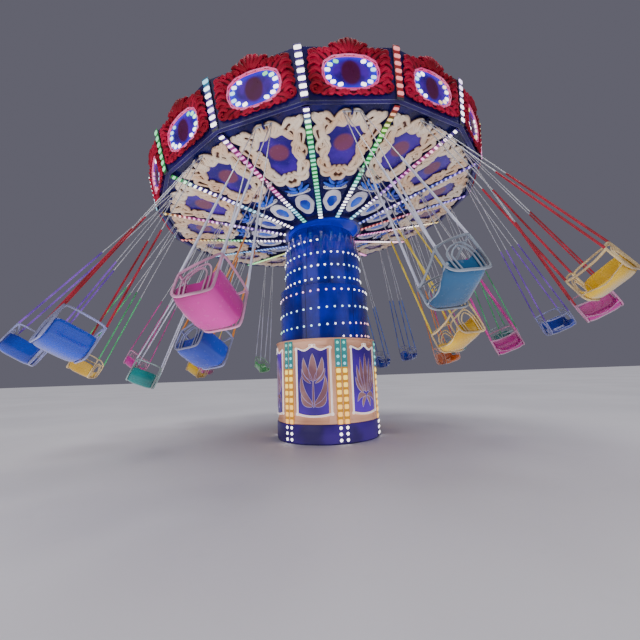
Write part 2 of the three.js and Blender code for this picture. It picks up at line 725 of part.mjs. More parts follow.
OUTER_SEATS.forEach((colour, k) => {
  const number = String(k + 1).padStart(2, '0');
  hangChair(`outer_chair_${number}`, outerAngle(k), OUTER_RING_RADIUS, OUTER_FLING, colour);
});
INNER_SEATS.forEach((colour, k) => {
  hangChair(`inner_chair_${k + 1}`, innerAngle(k), INNER_RING_RADIUS, INNER_FLING, colour);
});

export default ride;
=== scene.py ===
# %% [markdown]
# # A chair swing ride
# This lesson dresses a fairground chair swing ride. A round drum carries a tower in two sleeves,
# and the tower carries a wide, tilted canopy with two rings of chairs. The measured solids are
# loaded first and nothing here moves them. Some of them get a finish, and the others are replaced
# by pieces that are modelled in the same place with more care.

# %% Load the frame
import json
import math
import bmesh
import bpy
from mathutils import Matrix, Vector


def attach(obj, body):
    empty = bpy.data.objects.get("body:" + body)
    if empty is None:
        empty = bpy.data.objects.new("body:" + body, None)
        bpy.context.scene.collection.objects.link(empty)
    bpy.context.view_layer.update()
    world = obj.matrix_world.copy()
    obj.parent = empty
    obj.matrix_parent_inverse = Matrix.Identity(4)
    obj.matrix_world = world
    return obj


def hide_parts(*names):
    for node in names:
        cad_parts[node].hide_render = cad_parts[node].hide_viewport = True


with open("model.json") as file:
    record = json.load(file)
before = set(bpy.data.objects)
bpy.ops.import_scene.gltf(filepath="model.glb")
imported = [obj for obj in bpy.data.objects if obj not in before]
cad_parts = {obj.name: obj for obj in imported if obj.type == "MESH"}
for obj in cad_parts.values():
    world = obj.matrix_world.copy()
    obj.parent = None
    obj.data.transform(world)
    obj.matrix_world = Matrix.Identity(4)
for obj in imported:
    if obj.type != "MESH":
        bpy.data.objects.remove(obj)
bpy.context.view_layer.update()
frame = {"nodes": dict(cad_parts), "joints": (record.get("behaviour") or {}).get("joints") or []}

# %% [markdown]
# The canopy is tilted and slightly turned, so everything on it is modelled upright, facing the
# front, and then carried over by one matrix. The spin joint gives the pivot and the tilted axis,
# and the first hanger gives the turn. Azimuth 0 is the front, -Y, and it grows towards +X.

# %% The canopy's place
SECTORS = 16
TURN = 2 * math.pi
SECTOR = TURN / SECTORS
HALF_SECTOR = SECTOR / 2
joints = {joint["name"]: joint for joint in frame["joints"]}
pivot = Vector(joints["canopy_spin"]["pos_m"])
axis = Vector(joints["canopy_spin"]["axis"])
tilt = Vector((0, 0, 1)).rotation_difference(axis).to_matrix().to_4x4()
upright = Matrix.Translation(pivot) @ tilt
first_hinge = upright.inverted() @ Vector(joints["outer_chair_01_swing"]["pos_m"])
canopy_turn = math.atan2(first_hinge.x, -first_hinge.y) - HALF_SECTOR
CANOPY = upright @ Matrix.Rotation(canopy_turn, 4, "Z")
print("canopy turned by", round(math.degrees(canopy_turn), 2), "degrees")

# %% [markdown]
# The camera stands in front of the ride at eye height, close in, so it is a wide lens that looks
# up a little. It is slightly rolled, as a hand holds it. It comes first because every later step
# is judged through it.

# %% Camera
CAMERA_PLACE = Vector((0, -8.0, 1.3768))
CAMERA_YAW = 0.0131
CAMERA_PITCH = 0.1593
CAMERA_ROLL = -0.0355
CAMERA_LENS = 18.934


def camera_matrix():
    """The camera's axes as columns: image right, image up and back towards the viewer."""
    sin_yaw, cos_yaw = math.sin(CAMERA_YAW), math.cos(CAMERA_YAW)
    sin_pitch, cos_pitch = math.sin(CAMERA_PITCH), math.cos(CAMERA_PITCH)
    right = Vector((cos_yaw, sin_yaw, 0))
    up = Vector((sin_yaw * sin_pitch, -cos_yaw * sin_pitch, cos_pitch))
    ahead = Vector((-sin_yaw * cos_pitch, cos_yaw * cos_pitch, sin_pitch))
    image_right = right * math.cos(CAMERA_ROLL) + up * math.sin(CAMERA_ROLL)
    image_up = up * math.cos(CAMERA_ROLL) - right * math.sin(CAMERA_ROLL)
    turned = Matrix((image_right, image_up, -ahead)).transposed().to_4x4()
    return Matrix.Translation(CAMERA_PLACE) @ turned


camera = bpy.data.objects.new("camera", bpy.data.cameras.new("camera"))
camera.data.sensor_width = 36
camera.data.lens = CAMERA_LENS
camera.matrix_world = camera_matrix()
bpy.context.collection.objects.link(camera)
bpy.context.scene.camera = camera
print("camera at", tuple(camera.location))

# %% [markdown]
# Modelling by hand needs a few habits: only the piece in work is selected, edit mode is entered
# and left on purpose, and a finished piece carries its place in its mesh. These helpers are those
# habits, so that the cells below read like the steps of a modeller.

# %% Habits of the bench


def only(*pieces):
    bpy.ops.object.select_all(action="DESELECT")
    for piece in pieces:
        piece.select_set(True)
    bpy.context.view_layer.objects.active = pieces[0]


def edit(piece, mode="VERT"):
    only(piece)
    bpy.ops.object.mode_set(mode="EDIT")
    bpy.ops.mesh.select_mode(type=mode)
    bpy.ops.mesh.select_all(action="SELECT")


def leave():
    bpy.ops.object.mode_set(mode="OBJECT")


def weld():
    """Merges doubled corners, and leaves everything selected."""
    bpy.ops.mesh.select_all(action="SELECT")
    bpy.ops.mesh.remove_doubles(threshold=1e-5)
    bpy.ops.mesh.select_all(action="SELECT")


def close_up():
    """Turns all faces outwards and ends the work on the mesh."""
    bpy.ops.mesh.select_all(action="SELECT")
    bpy.ops.mesh.normals_make_consistent(inside=False)
    leave()


def new_piece(name, primitive, **settings):
    """Adds a primitive at its size and place, and puts that place into its mesh."""
    bpy.ops.object.select_all(action="DESELECT")
    primitive(**settings)
    piece = bpy.context.object
    piece.name = piece.data.name = name
    bpy.ops.object.transform_apply(location=True, rotation=True, scale=True)
    return piece


def pick_faces(piece, test):
    """Selects, in edit mode, the faces whose middle and normal pass the test."""
    shape = bmesh.from_edit_mesh(piece.data)
    for face in shape.faces:
        face.select_set(bool(test(face.calc_center_median(), face.normal)))
    bmesh.update_edit_mesh(piece.data)


def smooth(piece, angle=40):
    only(piece)
    bpy.ops.object.shade_smooth_by_angle(angle=math.radians(angle))


def modify(piece, kind, **settings):
    """Adds a modifier and applies it."""
    only(piece)
    modifier = piece.modifiers.new(kind, kind)
    for key, value in settings.items():
        setattr(modifier, key, value)
    bpy.ops.object.modifier_apply(modifier=modifier.name)


# %% [markdown]
# Three ways of starting a piece come up again and again: an outline drawn by extruding one point, a
# bevelled bar, and a disc that is inset ring by ring. A finished piece is dressed: it gets its
# finish and the body that it moves with, and the solids that it stands for are hidden.

# %% Starting and dressing a piece


def drawn(name, start, strides):
    """A closed outline: one point that is extruded stride by stride, back to where it began."""
    piece = new_piece(name, bpy.ops.mesh.primitive_plane_add, size=0.01, location=start)
    edit(piece)
    bpy.ops.mesh.merge(type="CENTER")
    for stride in strides:
        bpy.ops.mesh.extrude_region_move(TRANSFORM_OT_translate={"value": stride})
    weld()
    return piece


def bar(name, size, middle, bevel, segments=2):
    """A bevelled bar: a cube that is scaled and moved in edit mode."""
    piece = new_piece(name, bpy.ops.mesh.primitive_cube_add, size=1, location=(0, 0, 0))
    edit(piece)
    bpy.ops.transform.resize(value=size)
    bpy.ops.transform.translate(value=middle)
    leave()
    modify(piece, "BEVEL", width=bevel, segments=segments)
    return piece


def disc(name, corners, insets, lay, hollow=False):
    """A disc that is inset ring by ring, with a lift after each, and laid on the ride by a rule."""
    piece = new_piece(name, bpy.ops.mesh.primitive_circle_add, vertices=corners, radius=1, fill_type="NGON")
    edit(piece, "FACE")
    for inset, lift in insets:
        bpy.ops.mesh.inset(thickness=inset, use_relative_offset=False)
        bpy.ops.transform.translate(value=(0, 0, lift))
    if hollow:
        bpy.ops.mesh.delete(type="FACE")
    leave()
    for vertex in piece.data.vertices:
        x, y, z = vertex.co
        vertex.co = lay(math.atan2(y, x), math.hypot(x, y), z)
    return piece


def dress(piece, body, finish, nodes=()):
    """Gives a piece its finish and its body, and hides the nodes that it stands for."""
    piece.data.materials.clear()
    piece.data.materials.append(finish.material)
    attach(piece, body)
    if nodes:
        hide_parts(*nodes)
    return piece


# %% [markdown]
# Round parts, such as sleeves, drums and rings, are turned on a lathe. The outline starts as one
# point, grows corner by corner with extrude, and is then spun round the tower's axis. A part that
# is only a sector of a ring is spun less far, and its two open ends are filled.

# %% The lathe


def turned(name, outline, steps, first=0.0, sweep=TURN, smooth_angle=40):
    """Spins a closed outline of (radius, height) points about the upright axis."""
    radius, height = outline[0]
    start = Vector((radius * math.sin(first), -radius * math.cos(first), height))
    outward = Vector((math.sin(first), -math.cos(first), 0))
    piece = drawn(name, start, [
        outward * (r1 - r0) + Vector((0, 0, z1 - z0))
        for (r0, z0), (r1, z1) in zip(outline, outline[1:] + outline[:1])])
    bpy.ops.mesh.spin(steps=steps, angle=sweep, center=(0, 0, 0), axis=(0, 0, 1))
    weld()
    if sweep < TURN:
        bpy.ops.mesh.fill_holes(sides=0)
    close_up()
    smooth(piece, smooth_angle)
    return piece


def band(inner, outer, low, high):
    return [(inner, low), (outer, low), (outer, high), (inner, high)]


# %% [markdown]
# Scrolls, leaves, frames and bent tubes are strokes: a few points with a thickness each, joined by
# a smooth line and swept with a round section. On the real ride they are glass-fibre mouldings and
# bent steel tubes. The strokes are drawn flat, and a rule says where a flat point lies on the ride.

# %% Strokes


def through(points, steps):
    """A smooth line through points of any dimension (Catmull-Rom)."""
    line = []
    for i in range(len(points) - 1):
        p0, p1, p2, p3 = (points[max(0, min(len(points) - 1, j))] for j in (i - 1, i, i + 1, i + 2))
        for s in range(steps):
            t = s / steps
            line.append([
                0.5 * (2 * b + (c - a) * t + (2 * a - 5 * b + 4 * c - d) * t * t
                       + (3 * b - a - 3 * c + d) * t ** 3)
                for a, b, c, d in zip(p0, p1, p2, p3)])
    return line + [list(points[-1])]


def swept(name, strokes, rule, sides=2, closed=False):
    """A mesh of round strokes. Each stroke is a list of (across, up, out, thickness) points."""
    bpy.ops.object.select_all(action="DESELECT")
    bpy.ops.curve.primitive_bezier_curve_add()
    piece = bpy.context.object
    piece.name = piece.data.name = name
    piece.data.splines.clear()
    piece.data.dimensions = "3D"
    piece.data.bevel_depth = 1.0
    piece.data.bevel_resolution = sides
    piece.data.use_fill_caps = True
    for stroke in strokes:
        spline = piece.data.splines.new("POLY")
        spline.points.add(len(stroke) - 1)
        spline.use_cyclic_u = closed
        for point, (a, b, h, thickness) in zip(spline.points, stroke):
            point.co = (*rule(a, b, h), 1)
            point.radius = thickness
    only(piece)
    bpy.ops.object.convert(target="MESH")
    piece = bpy.context.object
    edit(piece)
    close_up()
    bpy.ops.object.shade_smooth()
    return piece


def flat(a, b, h):
    return Vector((a, b, h))


def mirrored(strokes):
    """The strokes and their mirror images across the middle."""
    return strokes + [[(-a, *rest) for a, *rest in stroke] for stroke in strokes]


def curl(a, b, size, first, turns, thickness, out=0.0):
    """A spiral scroll that winds in to a point."""
    count = 14
    stroke = []
    for i in range(count + 1):
        t = i / count
        angle = first + turns * TURN * t
        reach = size * (1 - 0.82 * t)
        across, up = a + reach * math.cos(angle), b + reach * math.sin(angle)
        stroke.append((across, up, out, thickness * (1 - 0.45 * t)))
    return stroke


# %% [markdown]
# Lamps are repeated by the hundred, so one small lens is modelled and copied to every place. All
# copies of a kind become one mesh. Each lamp keeps its colour in an attribute that the finish reads:
# pure round its foot and paler on its face, as a strong lamp looks to the eye.

# %% Lamps by the hundred
FACE_WHITENESS = 0.2
COLOUR_POWER = 0.2


def built(name, points, faces):
    """A piece from corners and faces."""
    mesh = bpy.data.meshes.new(name)
    mesh.from_pydata(points, [], faces)
    piece = bpy.data.objects.new(name, mesh)
    bpy.context.collection.objects.link(piece)
    return piece


def shaded(piece, attribute, shades):
    """Keeps a colour for each corner in an attribute, as one flat list."""
    piece.data.color_attributes.new(attribute, "FLOAT_COLOR", "POINT").data.foreach_set("color", shades)


def lit(colour, share):
    """A colour on its way to white. Pure colours are dimmer, because strong ones would look white."""
    whiter = tuple(c + (1 - c) * share for c in colour)
    pale = min(whiter) / max(whiter)
    return tuple(c * (COLOUR_POWER + (1 - COLOUR_POWER) * pale) for c in whiter)


def scattered(name, model, lamps, body, finish, whiteness=FACE_WHITENESS):
    """One mesh with a copy of the model for every lamp, which is a pair of place and colour."""
    shape = model.data
    corners = [vertex.co.copy() for vertex in shape.vertices]
    top = max(corner.z for corner in corners)
    faces = [tuple(face.vertices) for face in shape.polygons]
    points, polygons, shades = [], [], []
    for place, colour in lamps:
        start = len(points)
        points.extend(place @ corner for corner in corners)
        polygons.extend(tuple(start + i for i in face) for face in faces)
        for corner in corners:
            shades.extend([*lit(colour, whiteness * max(0, corner.z / top)), 1.0])
    piece = built(name, points, polygons)
    shaded(piece, "lamp_colour", shades)
    smooth(piece, 50)
    dress(piece, body, finish)
    print(name, "has", len(lamps), "lamps")


# %% [markdown]
# Two lens shapes serve every lamp: a low bar with round corners, and a dome. A row of lamps runs
# smoothly through a few hues, each known by its first letter: white, cyan, teal, green, lime,
# yellow, amber, red, pink, magenta, violet, blue and a pale iris. On the drum's columns, the rim's
# corners and the ribs there is a channel behind the row, with the glow of its light painted on it.

# %% Lens shapes and hues
BACKING = 0.003
CHANNEL_SINK = 0.0015
HUES = {
    "W": (1.0, 0.94, 0.9), "C": (0.12, 0.72, 1.0), "T": (0.02, 0.9, 0.66), "G": (0.02, 1.0, 0.3),
    "L": (0.5, 1.0, 0.08), "Y": (1.0, 0.68, 0.02), "A": (1.0, 0.44, 0.0), "R": (1.0, 0.04, 0.04),
    "P": (1.0, 0.3, 0.6), "M": (1.0, 0.06, 0.75), "V": (0.4, 0.08, 1.0), "B": (0.05, 0.14, 1.0),
    "I": (0.78, 0.6, 1.0)}


def lens(name, width, length, height, inset=0.3):
    """A low, round-cornered lens that lies on z = 0 and looks along +Z."""
    model = new_piece(name, bpy.ops.mesh.primitive_cube_add, size=1, location=(0, 0, 0.5))
    edit(model, "EDGE")
    shape = bmesh.from_edit_mesh(model.data)
    for line in shape.edges:
        line.select_set(abs(line.verts[0].co.z - line.verts[1].co.z) > 0.5)
    bmesh.update_edit_mesh(model.data)
    bpy.ops.mesh.bevel(offset=inset, segments=2)
    bpy.ops.mesh.select_mode(type="FACE")
    pick_faces(model, lambda middle, normal: normal.z > 0.9)
    bpy.ops.mesh.inset(thickness=0.1)
    bpy.ops.transform.translate(value=(0, 0, 0.4))
    bpy.ops.mesh.select_all(action="SELECT")
    bpy.ops.transform.resize(value=(width, length, height / 1.4), center_override=(0, 0, 0))
    leave()
    return model


def dome(name, radius, height):
    """A round lens that lies on z = 0 and looks along +Z."""
    model = new_piece(
        name, bpy.ops.mesh.primitive_uv_sphere_add, segments=10, ring_count=6, radius=1, location=(0, 0, 0))
    edit(model)
    bpy.ops.mesh.bisect(plane_co=(0, 0, 0), plane_no=(0, 0, 1), use_fill=True, clear_inner=True)
    bpy.ops.mesh.select_all(action="SELECT")
    bpy.ops.transform.resize(value=(radius, radius, height), center_override=(0, 0, 0))
    leave()
    return model


def backing(name, width, length):
    """A thin bevelled plate that lies on z = 0: the channel that a lamp sits in, painted with its glow."""
    return bar(name, (width, length, BACKING), (0, 0, BACKING / 2), BACKING / 3, 1)


def blended(stops, t):
    """The colour at t, from 0 to 1, along a list of colours."""
    spot = min(max(t, 0), 0.9999) * (len(stops) - 1)
    i = int(spot)
    return tuple(a + (b - a) * (spot - i) for a, b in zip(stops[i], stops[i + 1]))


def hue(letters, t):
    """The colour at t along a run of hues, each given by its letter."""
    return blended([HUES[letter] for letter in letters], t)


def glow_of(colour):
    """The painted glow of a lamp on its channel: white turns to violet, a hue deepens."""
    pale = min(colour) / max(colour)
    deep = tuple(0.9 * c ** 1.8 for c in colour)
    return blended([deep, deep, (0.1, 0.02, 0.6)], pale * 1.4)


print("hues:", len(HUES))

# %% [markdown]
# A finish is a shader tree. Written as wires and sockets it is hard to read, so one small class
# wraps a socket and lets Python's signs add the maths nodes, and another holds the tree. Each
# finish below is then a few lines that say what varies.

# %% Shader maths


class Wire:
    """One output in a finish, which takes part in sums."""

    def __init__(self, finish, socket):
        self.finish = finish
        self.socket = socket

    def __add__(self, other):
        return self.finish.sum("ADD", self, other)

    __radd__ = __add__

    def __sub__(self, other):
        return self.finish.sum("SUBTRACT", self, other)

    def __rsub__(self, other):
        return self.finish.sum("SUBTRACT", other, self)

    def __mul__(self, other):
        return self.finish.sum("MULTIPLY", self, other)

    __rmul__ = __mul__

    def __truediv__(self, other):
        return self.finish.sum("DIVIDE", self, other)

    def __lt__(self, other):
        return self.finish.sum("LESS_THAN", self, other)


# %% [markdown]
# A finish is one material, whose Principled shader is fed by wires. Every node comes from one
# method, which makes its settings first and then fills its inputs with values or wires.

# %% A finish and its nodes


class Finish:
    """A material whose Principled shader is fed by wires."""

    def __init__(self, name, **uniform):
        self.material = bpy.data.materials.new(name)
        self.material.use_nodes = True
        self.tree = self.material.node_tree
        self.shader = self.tree.nodes["Principled BSDF"]
        self.place = self.node("TexCoord", out=3)
        for socket, value in uniform.items():
            self.shader.inputs[socket.replace("_", " ")].default_value = value

    def node(self, kind, settings=None, inputs=None, out=0):
        made = self.tree.nodes.new("ShaderNode" + kind)
        for key, value in (settings or {}).items():
            setattr(made, key, value)
        for key, value in (inputs or {}).items():
            if isinstance(value, Wire):
                self.tree.links.new(value.socket, made.inputs[key])
            else:
                made.inputs[key].default_value = value
        return Wire(self, made.outputs[out])

    def parts(self, vector):
        """The three numbers of a vector."""
        outputs = self.node("SeparateXYZ", {}, {0: vector}).socket.node.outputs
        return [Wire(self, socket) for socket in outputs]

    def sum(self, operation, a, b=0.0):
        return self.node("Math", {"operation": operation}, {0: a, 1: b})

    def mix(self, factor, a, b, blend="MIX"):
        first, second = (c if isinstance(c, Wire) else (*c, 1) for c in (a, b))
        settings = {"data_type": "RGBA", "blend_type": blend}
        return self.node("Mix", settings, {0: factor, 6: first, 7: second}, out=2)

    def noise(self, scale, detail=3, where=None, rough=0.5):
        return self.node("TexNoise", {}, {
            "Scale": scale, "Detail": detail, "Roughness": rough, "Vector": where or self.place})

    def step(self, value, low, high):
        """0 below low and 1 above high, with a smooth step between."""
        return self.node("MapRange", {"interpolation_type": "SMOOTHSTEP"}, {0: value, 1: low, 2: high})

    def feed(self, **wires):
        for socket, wire in wires.items():
            self.tree.links.new(wire.socket, self.shader.inputs[socket.replace("_", " ")])
        return self

    def bump(self, height, distance=0.002, strength=0.6):
        return self.feed(Normal=self.node("Bump", {}, {
            "Height": height, "Distance": distance, "Strength": strength}))


# %% [markdown]
# Most of the ride is painted, so one finish serves many parts. Its tone drifts between a dark and a
# light colour, worn spots are duller, and a slight ripple breaks the gloss. Where a groove colour
# is given, the ridge attribute of a carved piece paints it into the grooves as painted shade.

# %% Paint


def painted(name, dark, light, rough, grain=6.0, depth=0.0012, wear=0.3, groove=None, **uniform):
    """Paint on a moulding or sheet: a tone that drifts, duller worn spots and a slight ripple."""
    finish = Finish(name, **uniform)
    drift = finish.noise(grain * 0.25, 2)
    spots = finish.step(finish.noise(grain * 4, 4, rough=0.6), 0.55, 0.75)
    tone = finish.mix(finish.step(drift, 0.35, 0.65), dark, light)
    # Painted shade: where the ridge attribute is low, the groove colour darkens the tone.
    if groove:
        ridge = finish.node("VertexColor", {"layer_name": "ridge"})
        tone = finish.mix(finish.step(finish.node("RGBToBW", {}, {0: ridge}), 0.1, 0.75), groove, tone)
    worn = finish.mix(spots * wear, tone, tuple(0.5 * c + 0.12 for c in light))
    finish.feed(Base_Color=worn, Roughness=spots * 0.2 + drift * 0.12 + rough)
    finish.bump(finish.noise(grain * 3, 3), depth)
    return finish


# %% [markdown]
# The sleeves are glossy glass-fibre shells, rolled from a few sheets. Their gel coat is nearly a
# mirror, so what shows is the reflection, broken by fine scratches, faint upright joints between
# the sheets, and cloudy patches where the coat has dulled.

# %% Finishes of the base and tower


def sleeve_finish(name, dark, light):
    finish = Finish(name, Coat_Roughness=0.1, IOR=1.4)
    x, y, _ = finish.parts(finish.place)
    angle = finish.sum("ARCTAN2", x, y) * (6 / TURN) + 0.13
    seam = finish.sum("ABSOLUTE", finish.sum("FRACT", angle) - 0.5) < 0.006
    cloud = finish.noise(1.6, 3)
    stretched = finish.node("Mapping", {}, {"Vector": finish.place, "Scale": (9, 9, 0.6)})
    streak = finish.noise(3.0, 5, stretched, 0.65)
    tone = finish.mix(finish.step(cloud, 0.3, 0.7), dark, light)
    tone = finish.mix(finish.step(streak, 0.55, 0.8) * 0.2, tone, (0.08, 0.1, 0.5))
    tone = finish.mix(seam * 0.8, tone, (0.004, 0.004, 0.02))
    finish.feed(Base_Color=tone, Roughness=finish.step(streak, 0.4, 0.8) * 0.16 + cloud * 0.08 + 0.08)
    finish.feed(Coat_Weight=0.7 - seam * 0.6 - finish.step(streak, 0.6, 0.8) * 0.4)
    finish.bump(streak * 0.25 - seam, 0.0015, 0.4)
    return finish


sleeve_blue = sleeve_finish("sleeve_blue", (0.003, 0.006, 0.2), (0.008, 0.02, 0.6))
plinth_navy = painted(
    "plinth_navy", (0.018, 0.003, 0.12), (0.045, 0.006, 0.28), 0.35, wear=0.1, Coat_Weight=0.2)
drum_gold = painted("drum_gold", (0.62, 0.29, 0.17), (0.92, 0.52, 0.34), 0.34, grain=4, wear=0.2)
# The cream trim glows faintly, a painted glow that makes it look lit.
trim_cream = painted(
    "trim_cream", (0.9, 0.84, 0.78), (1.0, 0.96, 0.94), 0.3, grain=8, wear=0.1,
    Emission_Strength=0.45, Emission_Color=(1.0, 0.9, 0.86, 1))
groove_dark = painted("groove_dark", (0.02, 0.012, 0.012), (0.06, 0.03, 0.02), 0.6)
panel_purple = painted(
    "panel_purple", (0.035, 0.003, 0.26), (0.12, 0.006, 0.7), 0.3, grain=3, wear=0.05, Coat_Weight=0.3)
leaf_mauve = painted("leaf_mauve", (0.24, 0.1, 0.13), (0.42, 0.22, 0.22), 0.4, grain=9, wear=0.2)
outline_lilac = painted("outline_lilac", (0.5, 0.4, 0.85), (0.75, 0.66, 1.0), 0.3, grain=9, wear=0.1)
steel_grey = painted(
    "steel_grey", (0.16, 0.17, 0.19), (0.3, 0.31, 0.34), 0.4, grain=5, wear=0.3, Metallic=0.5)
print("finishes so far:", len(bpy.data.materials))

# %% [markdown]
# A lamp's lens glows in its own colour, and its middle looks paler, because the light there is too
# strong for the eye. The lens finish reads the colour attribute, and the emission is strong enough
# to tint what lies beside it.

# %% Lamp finish


def lamp_finish(name, strength, body=1.0):
    """A lit lens: its body takes a share of the lamp's colour, and its glow takes all of it."""
    finish = Finish(name, Roughness=0.3, Emission_Strength=strength)
    colour = finish.node("VertexColor", {"layer_name": "lamp_colour"})
    mottle = finish.noise(60, 1)
    finish.feed(
        Base_Color=finish.mix(1.0 - mottle * 0.3 * body, (body,) * 3, colour, "MULTIPLY"),
        Emission_Color=finish.mix(mottle * 0.15 * body, colour, (1, 1, 1)))
    return finish


lamp_bright = lamp_finish("lamp_bright", 3.4, 0.6)
lamp_soft = lamp_finish("lamp_soft", 6.5, 0.1)
# The channels hold no lamps: their glow is painted light, the colour of their lamps laid on them.
lamp_channel = lamp_finish("lamp_channel", 1.35, 0.1)
print("finishes with the lamps:", len(bpy.data.materials))

# %% [markdown]
# The plinth is a painted steel drum on the floor, with a rounded top edge and a foot that is set
# back a little. It is turned in one piece and stands for the plain solid.

# %% Plinth
ROUND = 96
plinth = turned("plinth_shell", [
    (0.3, 0.0), (1.135, 0.0), (1.14, 0.02), (1.152, 0.03), (1.152, 0.365), (1.146, 0.382), (1.13, 0.39),
    (0.3, 0.39)], ROUND)
dress(plinth, "base", plinth_navy, ["plinth"])
print("plinth faces:", len(plinth.data.polygons))

# %% [markdown]
# The drum is the gold part that people see at eye level. Its wall has a base moulding and a top
# moulding. Six pilasters stand on it, each a pair of shallow columns with a dark groove between,
# and every column carries a row of lamps.

# %% Drum wall and pilasters
PLINTH_TOP = 0.3904
DRUM_TOP = 2.08
DRUM_RADIUS = 1.12
PILASTERS = 6
PILASTER_STEP = TURN / PILASTERS
FIRST_PILASTER = math.radians(16)
PILASTER_HALF = math.radians(7.5)
GROOVE_HALF = math.radians(0.45)
PILASTER_BACK, PILASTER_RADIUS, PILASTER_TOP = 1.11, 1.141, 2.078

drum = turned("drum_wall", [
    (1.105, PLINTH_TOP), (1.134, PLINTH_TOP), (1.136, 0.43), (1.126, 0.455), (DRUM_RADIUS, 0.47),
    (DRUM_RADIUS, 2.005), (1.128, 2.02), (1.136, 2.045), (1.136, 2.07), (1.13, DRUM_TOP),
    (1.105, DRUM_TOP)], ROUND)
dress(drum, "base", drum_gold, ["drum"])

pilaster_outline = [
    (PILASTER_BACK, PLINTH_TOP), (PILASTER_RADIUS, PLINTH_TOP), (PILASTER_RADIUS, 2.065),
    (1.135, PILASTER_TOP), (PILASTER_BACK, PILASTER_TOP)]
grooves = [
    turned(f"groove_{i + 1}", band(PILASTER_BACK, 1.1375, PLINTH_TOP, PILASTER_TOP), 2,
           FIRST_PILASTER + i * PILASTER_STEP - GROOVE_HALF, 2 * GROOVE_HALF)
    for i in range(PILASTERS)]
columns = []
for i in range(PILASTERS):
    middle = FIRST_PILASTER + i * PILASTER_STEP
    for k, first in enumerate((middle - PILASTER_HALF, middle + GROOVE_HALF)):
        column = turned(f"column_{2 * i + k + 1}", pilaster_outline, 6, first, PILASTER_HALF - GROOVE_HALF)
        modify(column, "BEVEL", width=0.004, segments=2, limit_method="ANGLE")
        columns.append(column)
for name, group, finish in (("grooves", grooves, groove_dark), ("columns", columns, drum_gold)):
    only(*group)
    bpy.ops.object.join()
    dress(group[0], "base", finish)
    group[0].name = f"pilaster_{name}"
print("pilasters:", PILASTERS)

# %% [markdown]
# A turned top ring covers the joint between the drum and the tower. It is one moulding with a
# rounded nose.

# %% Top ring
ring = turned("top_ring", [
    (1.0, 2.0805), (1.148, 2.0805), (1.15, 2.088), (1.15, 2.1), (1.144, 2.108), (1.13, 2.11),
    (1.0, 2.11)], ROUND)
dress(ring, "base", drum_gold, ["drum_top_ring"])
print("top ring faces:", len(ring.data.polygons))

# %% [markdown]
# Between the pilasters, the drum carries six painted panels. Each is a gold plate with a purple
# field, a thin cream moulding round it with a wavy top, and a plain ornament of broad leaves with
# lilac outlines. Flat points are wrapped on the drum by one rule: across is an arc, up is height.

# %% Panel helpers
PANEL_RADIUS = 1.136
PANEL_HALF_ARC = 0.43
FIELD_HALF = 0.345
FIELD_LOW = 0.615
FIELD_TOP = 1.875
FIELD_COLUMNS, FIELD_ROWS, FIELD_THICKNESS = 24, 16, 0.0025


def wrap(middle, radius):
    """A rule that lays flat points on an upright cylinder round its azimuth."""
    def rule(a, b, h):
        angle = middle + a / radius
        reach = radius + h
        return Vector((reach * math.sin(angle), -reach * math.cos(angle), b))
    return rule


def field_top(u):
    """The wavy top edge of a field, for u from -1 to 1."""
    return FIELD_TOP + 0.028 * math.cos(TURN * u) + 0.02 * math.exp(-18 * u * u)


def field_bottom(u):
    return FIELD_LOW - 0.045 * (1 - u * u)


def field_on(name, rule):
    """A grid between the two edges of a field, laid on the drum and given a thickness."""
    piece = new_piece(
        name, bpy.ops.mesh.primitive_grid_add, size=2,
        x_subdivisions=FIELD_COLUMNS, y_subdivisions=FIELD_ROWS)
    for vertex in piece.data.vertices:
        u, v = vertex.co.x, (vertex.co.y + 1) / 2
        low = field_bottom(u)
        vertex.co = rule(u * FIELD_HALF, low + (field_top(u) - low) * v, 0)
    modify(piece, "SOLIDIFY", thickness=FIELD_THICKNESS, offset=-1)
    smooth(piece, 35)
    return piece


print("purple field", round(2 * FIELD_HALF, 3), "by", round(field_top(0) - field_bottom(0), 3), "m")

# %% [markdown]
# The leaves of the ornament are thin plates with a raised middle line, bent to one side. Their
# outline is worked out once, and it also serves for the lilac line round each leaf.

# %% Flat leaves


def leaf_outline(base, tip, width, bend, count=9):
    """Left, middle and right lines of a leaf from base to tip, which bends sideways."""
    (a0, b0), (a1, b1) = base, tip
    da, db = a1 - a0, b1 - b0
    length = math.hypot(da, db)
    lines = [[], [], []]
    for i in range(count + 1):
        t = i / count
        half = width * math.sin(math.pi * min(1, 0.06 + 0.94 * t ** 0.8)) ** 0.8
        sway = bend * math.sin(math.pi * t)
        for line, offset in zip(lines, (-half, 0, half)):
            shift = (sway + offset) / length
            line.append((a0 + da * t - db * shift, b0 + db * t + da * shift))
    return lines


def leaves_on(name, leaves, rule, lift, thickness):
    """Broad flat leaves as thin plates: each leaf is a strip of quads with a raised middle."""
    points, faces = [], []
    for leaf in leaves:
        left, middle, right = leaf_outline(*leaf)
        start = len(points)
        for row in zip(left, middle, right):
            for offset, (a, b) in zip((0, 0.35, 0), row):
                points.append(rule(a, b, lift + offset * thickness))
        for i in range(len(middle) - 1):
            for j in (0, 1):
                corner = start + 3 * i + j
                faces.append((corner, corner + 1, corner + 4, corner + 3))
    piece = built(name, points, faces)
    modify(piece, "SOLIDIFY", thickness=thickness, offset=-1)
    smooth(piece, 50)
    return piece


# %% [markdown]
# The ornament is drawn once in two layouts, which take turns round the drum: a tall flower with
# three petals between two long leaves, and a fan of feathers over two scrolled leaves. Leaves and
# outlines are symmetrical, as a stencil painter would cut them.

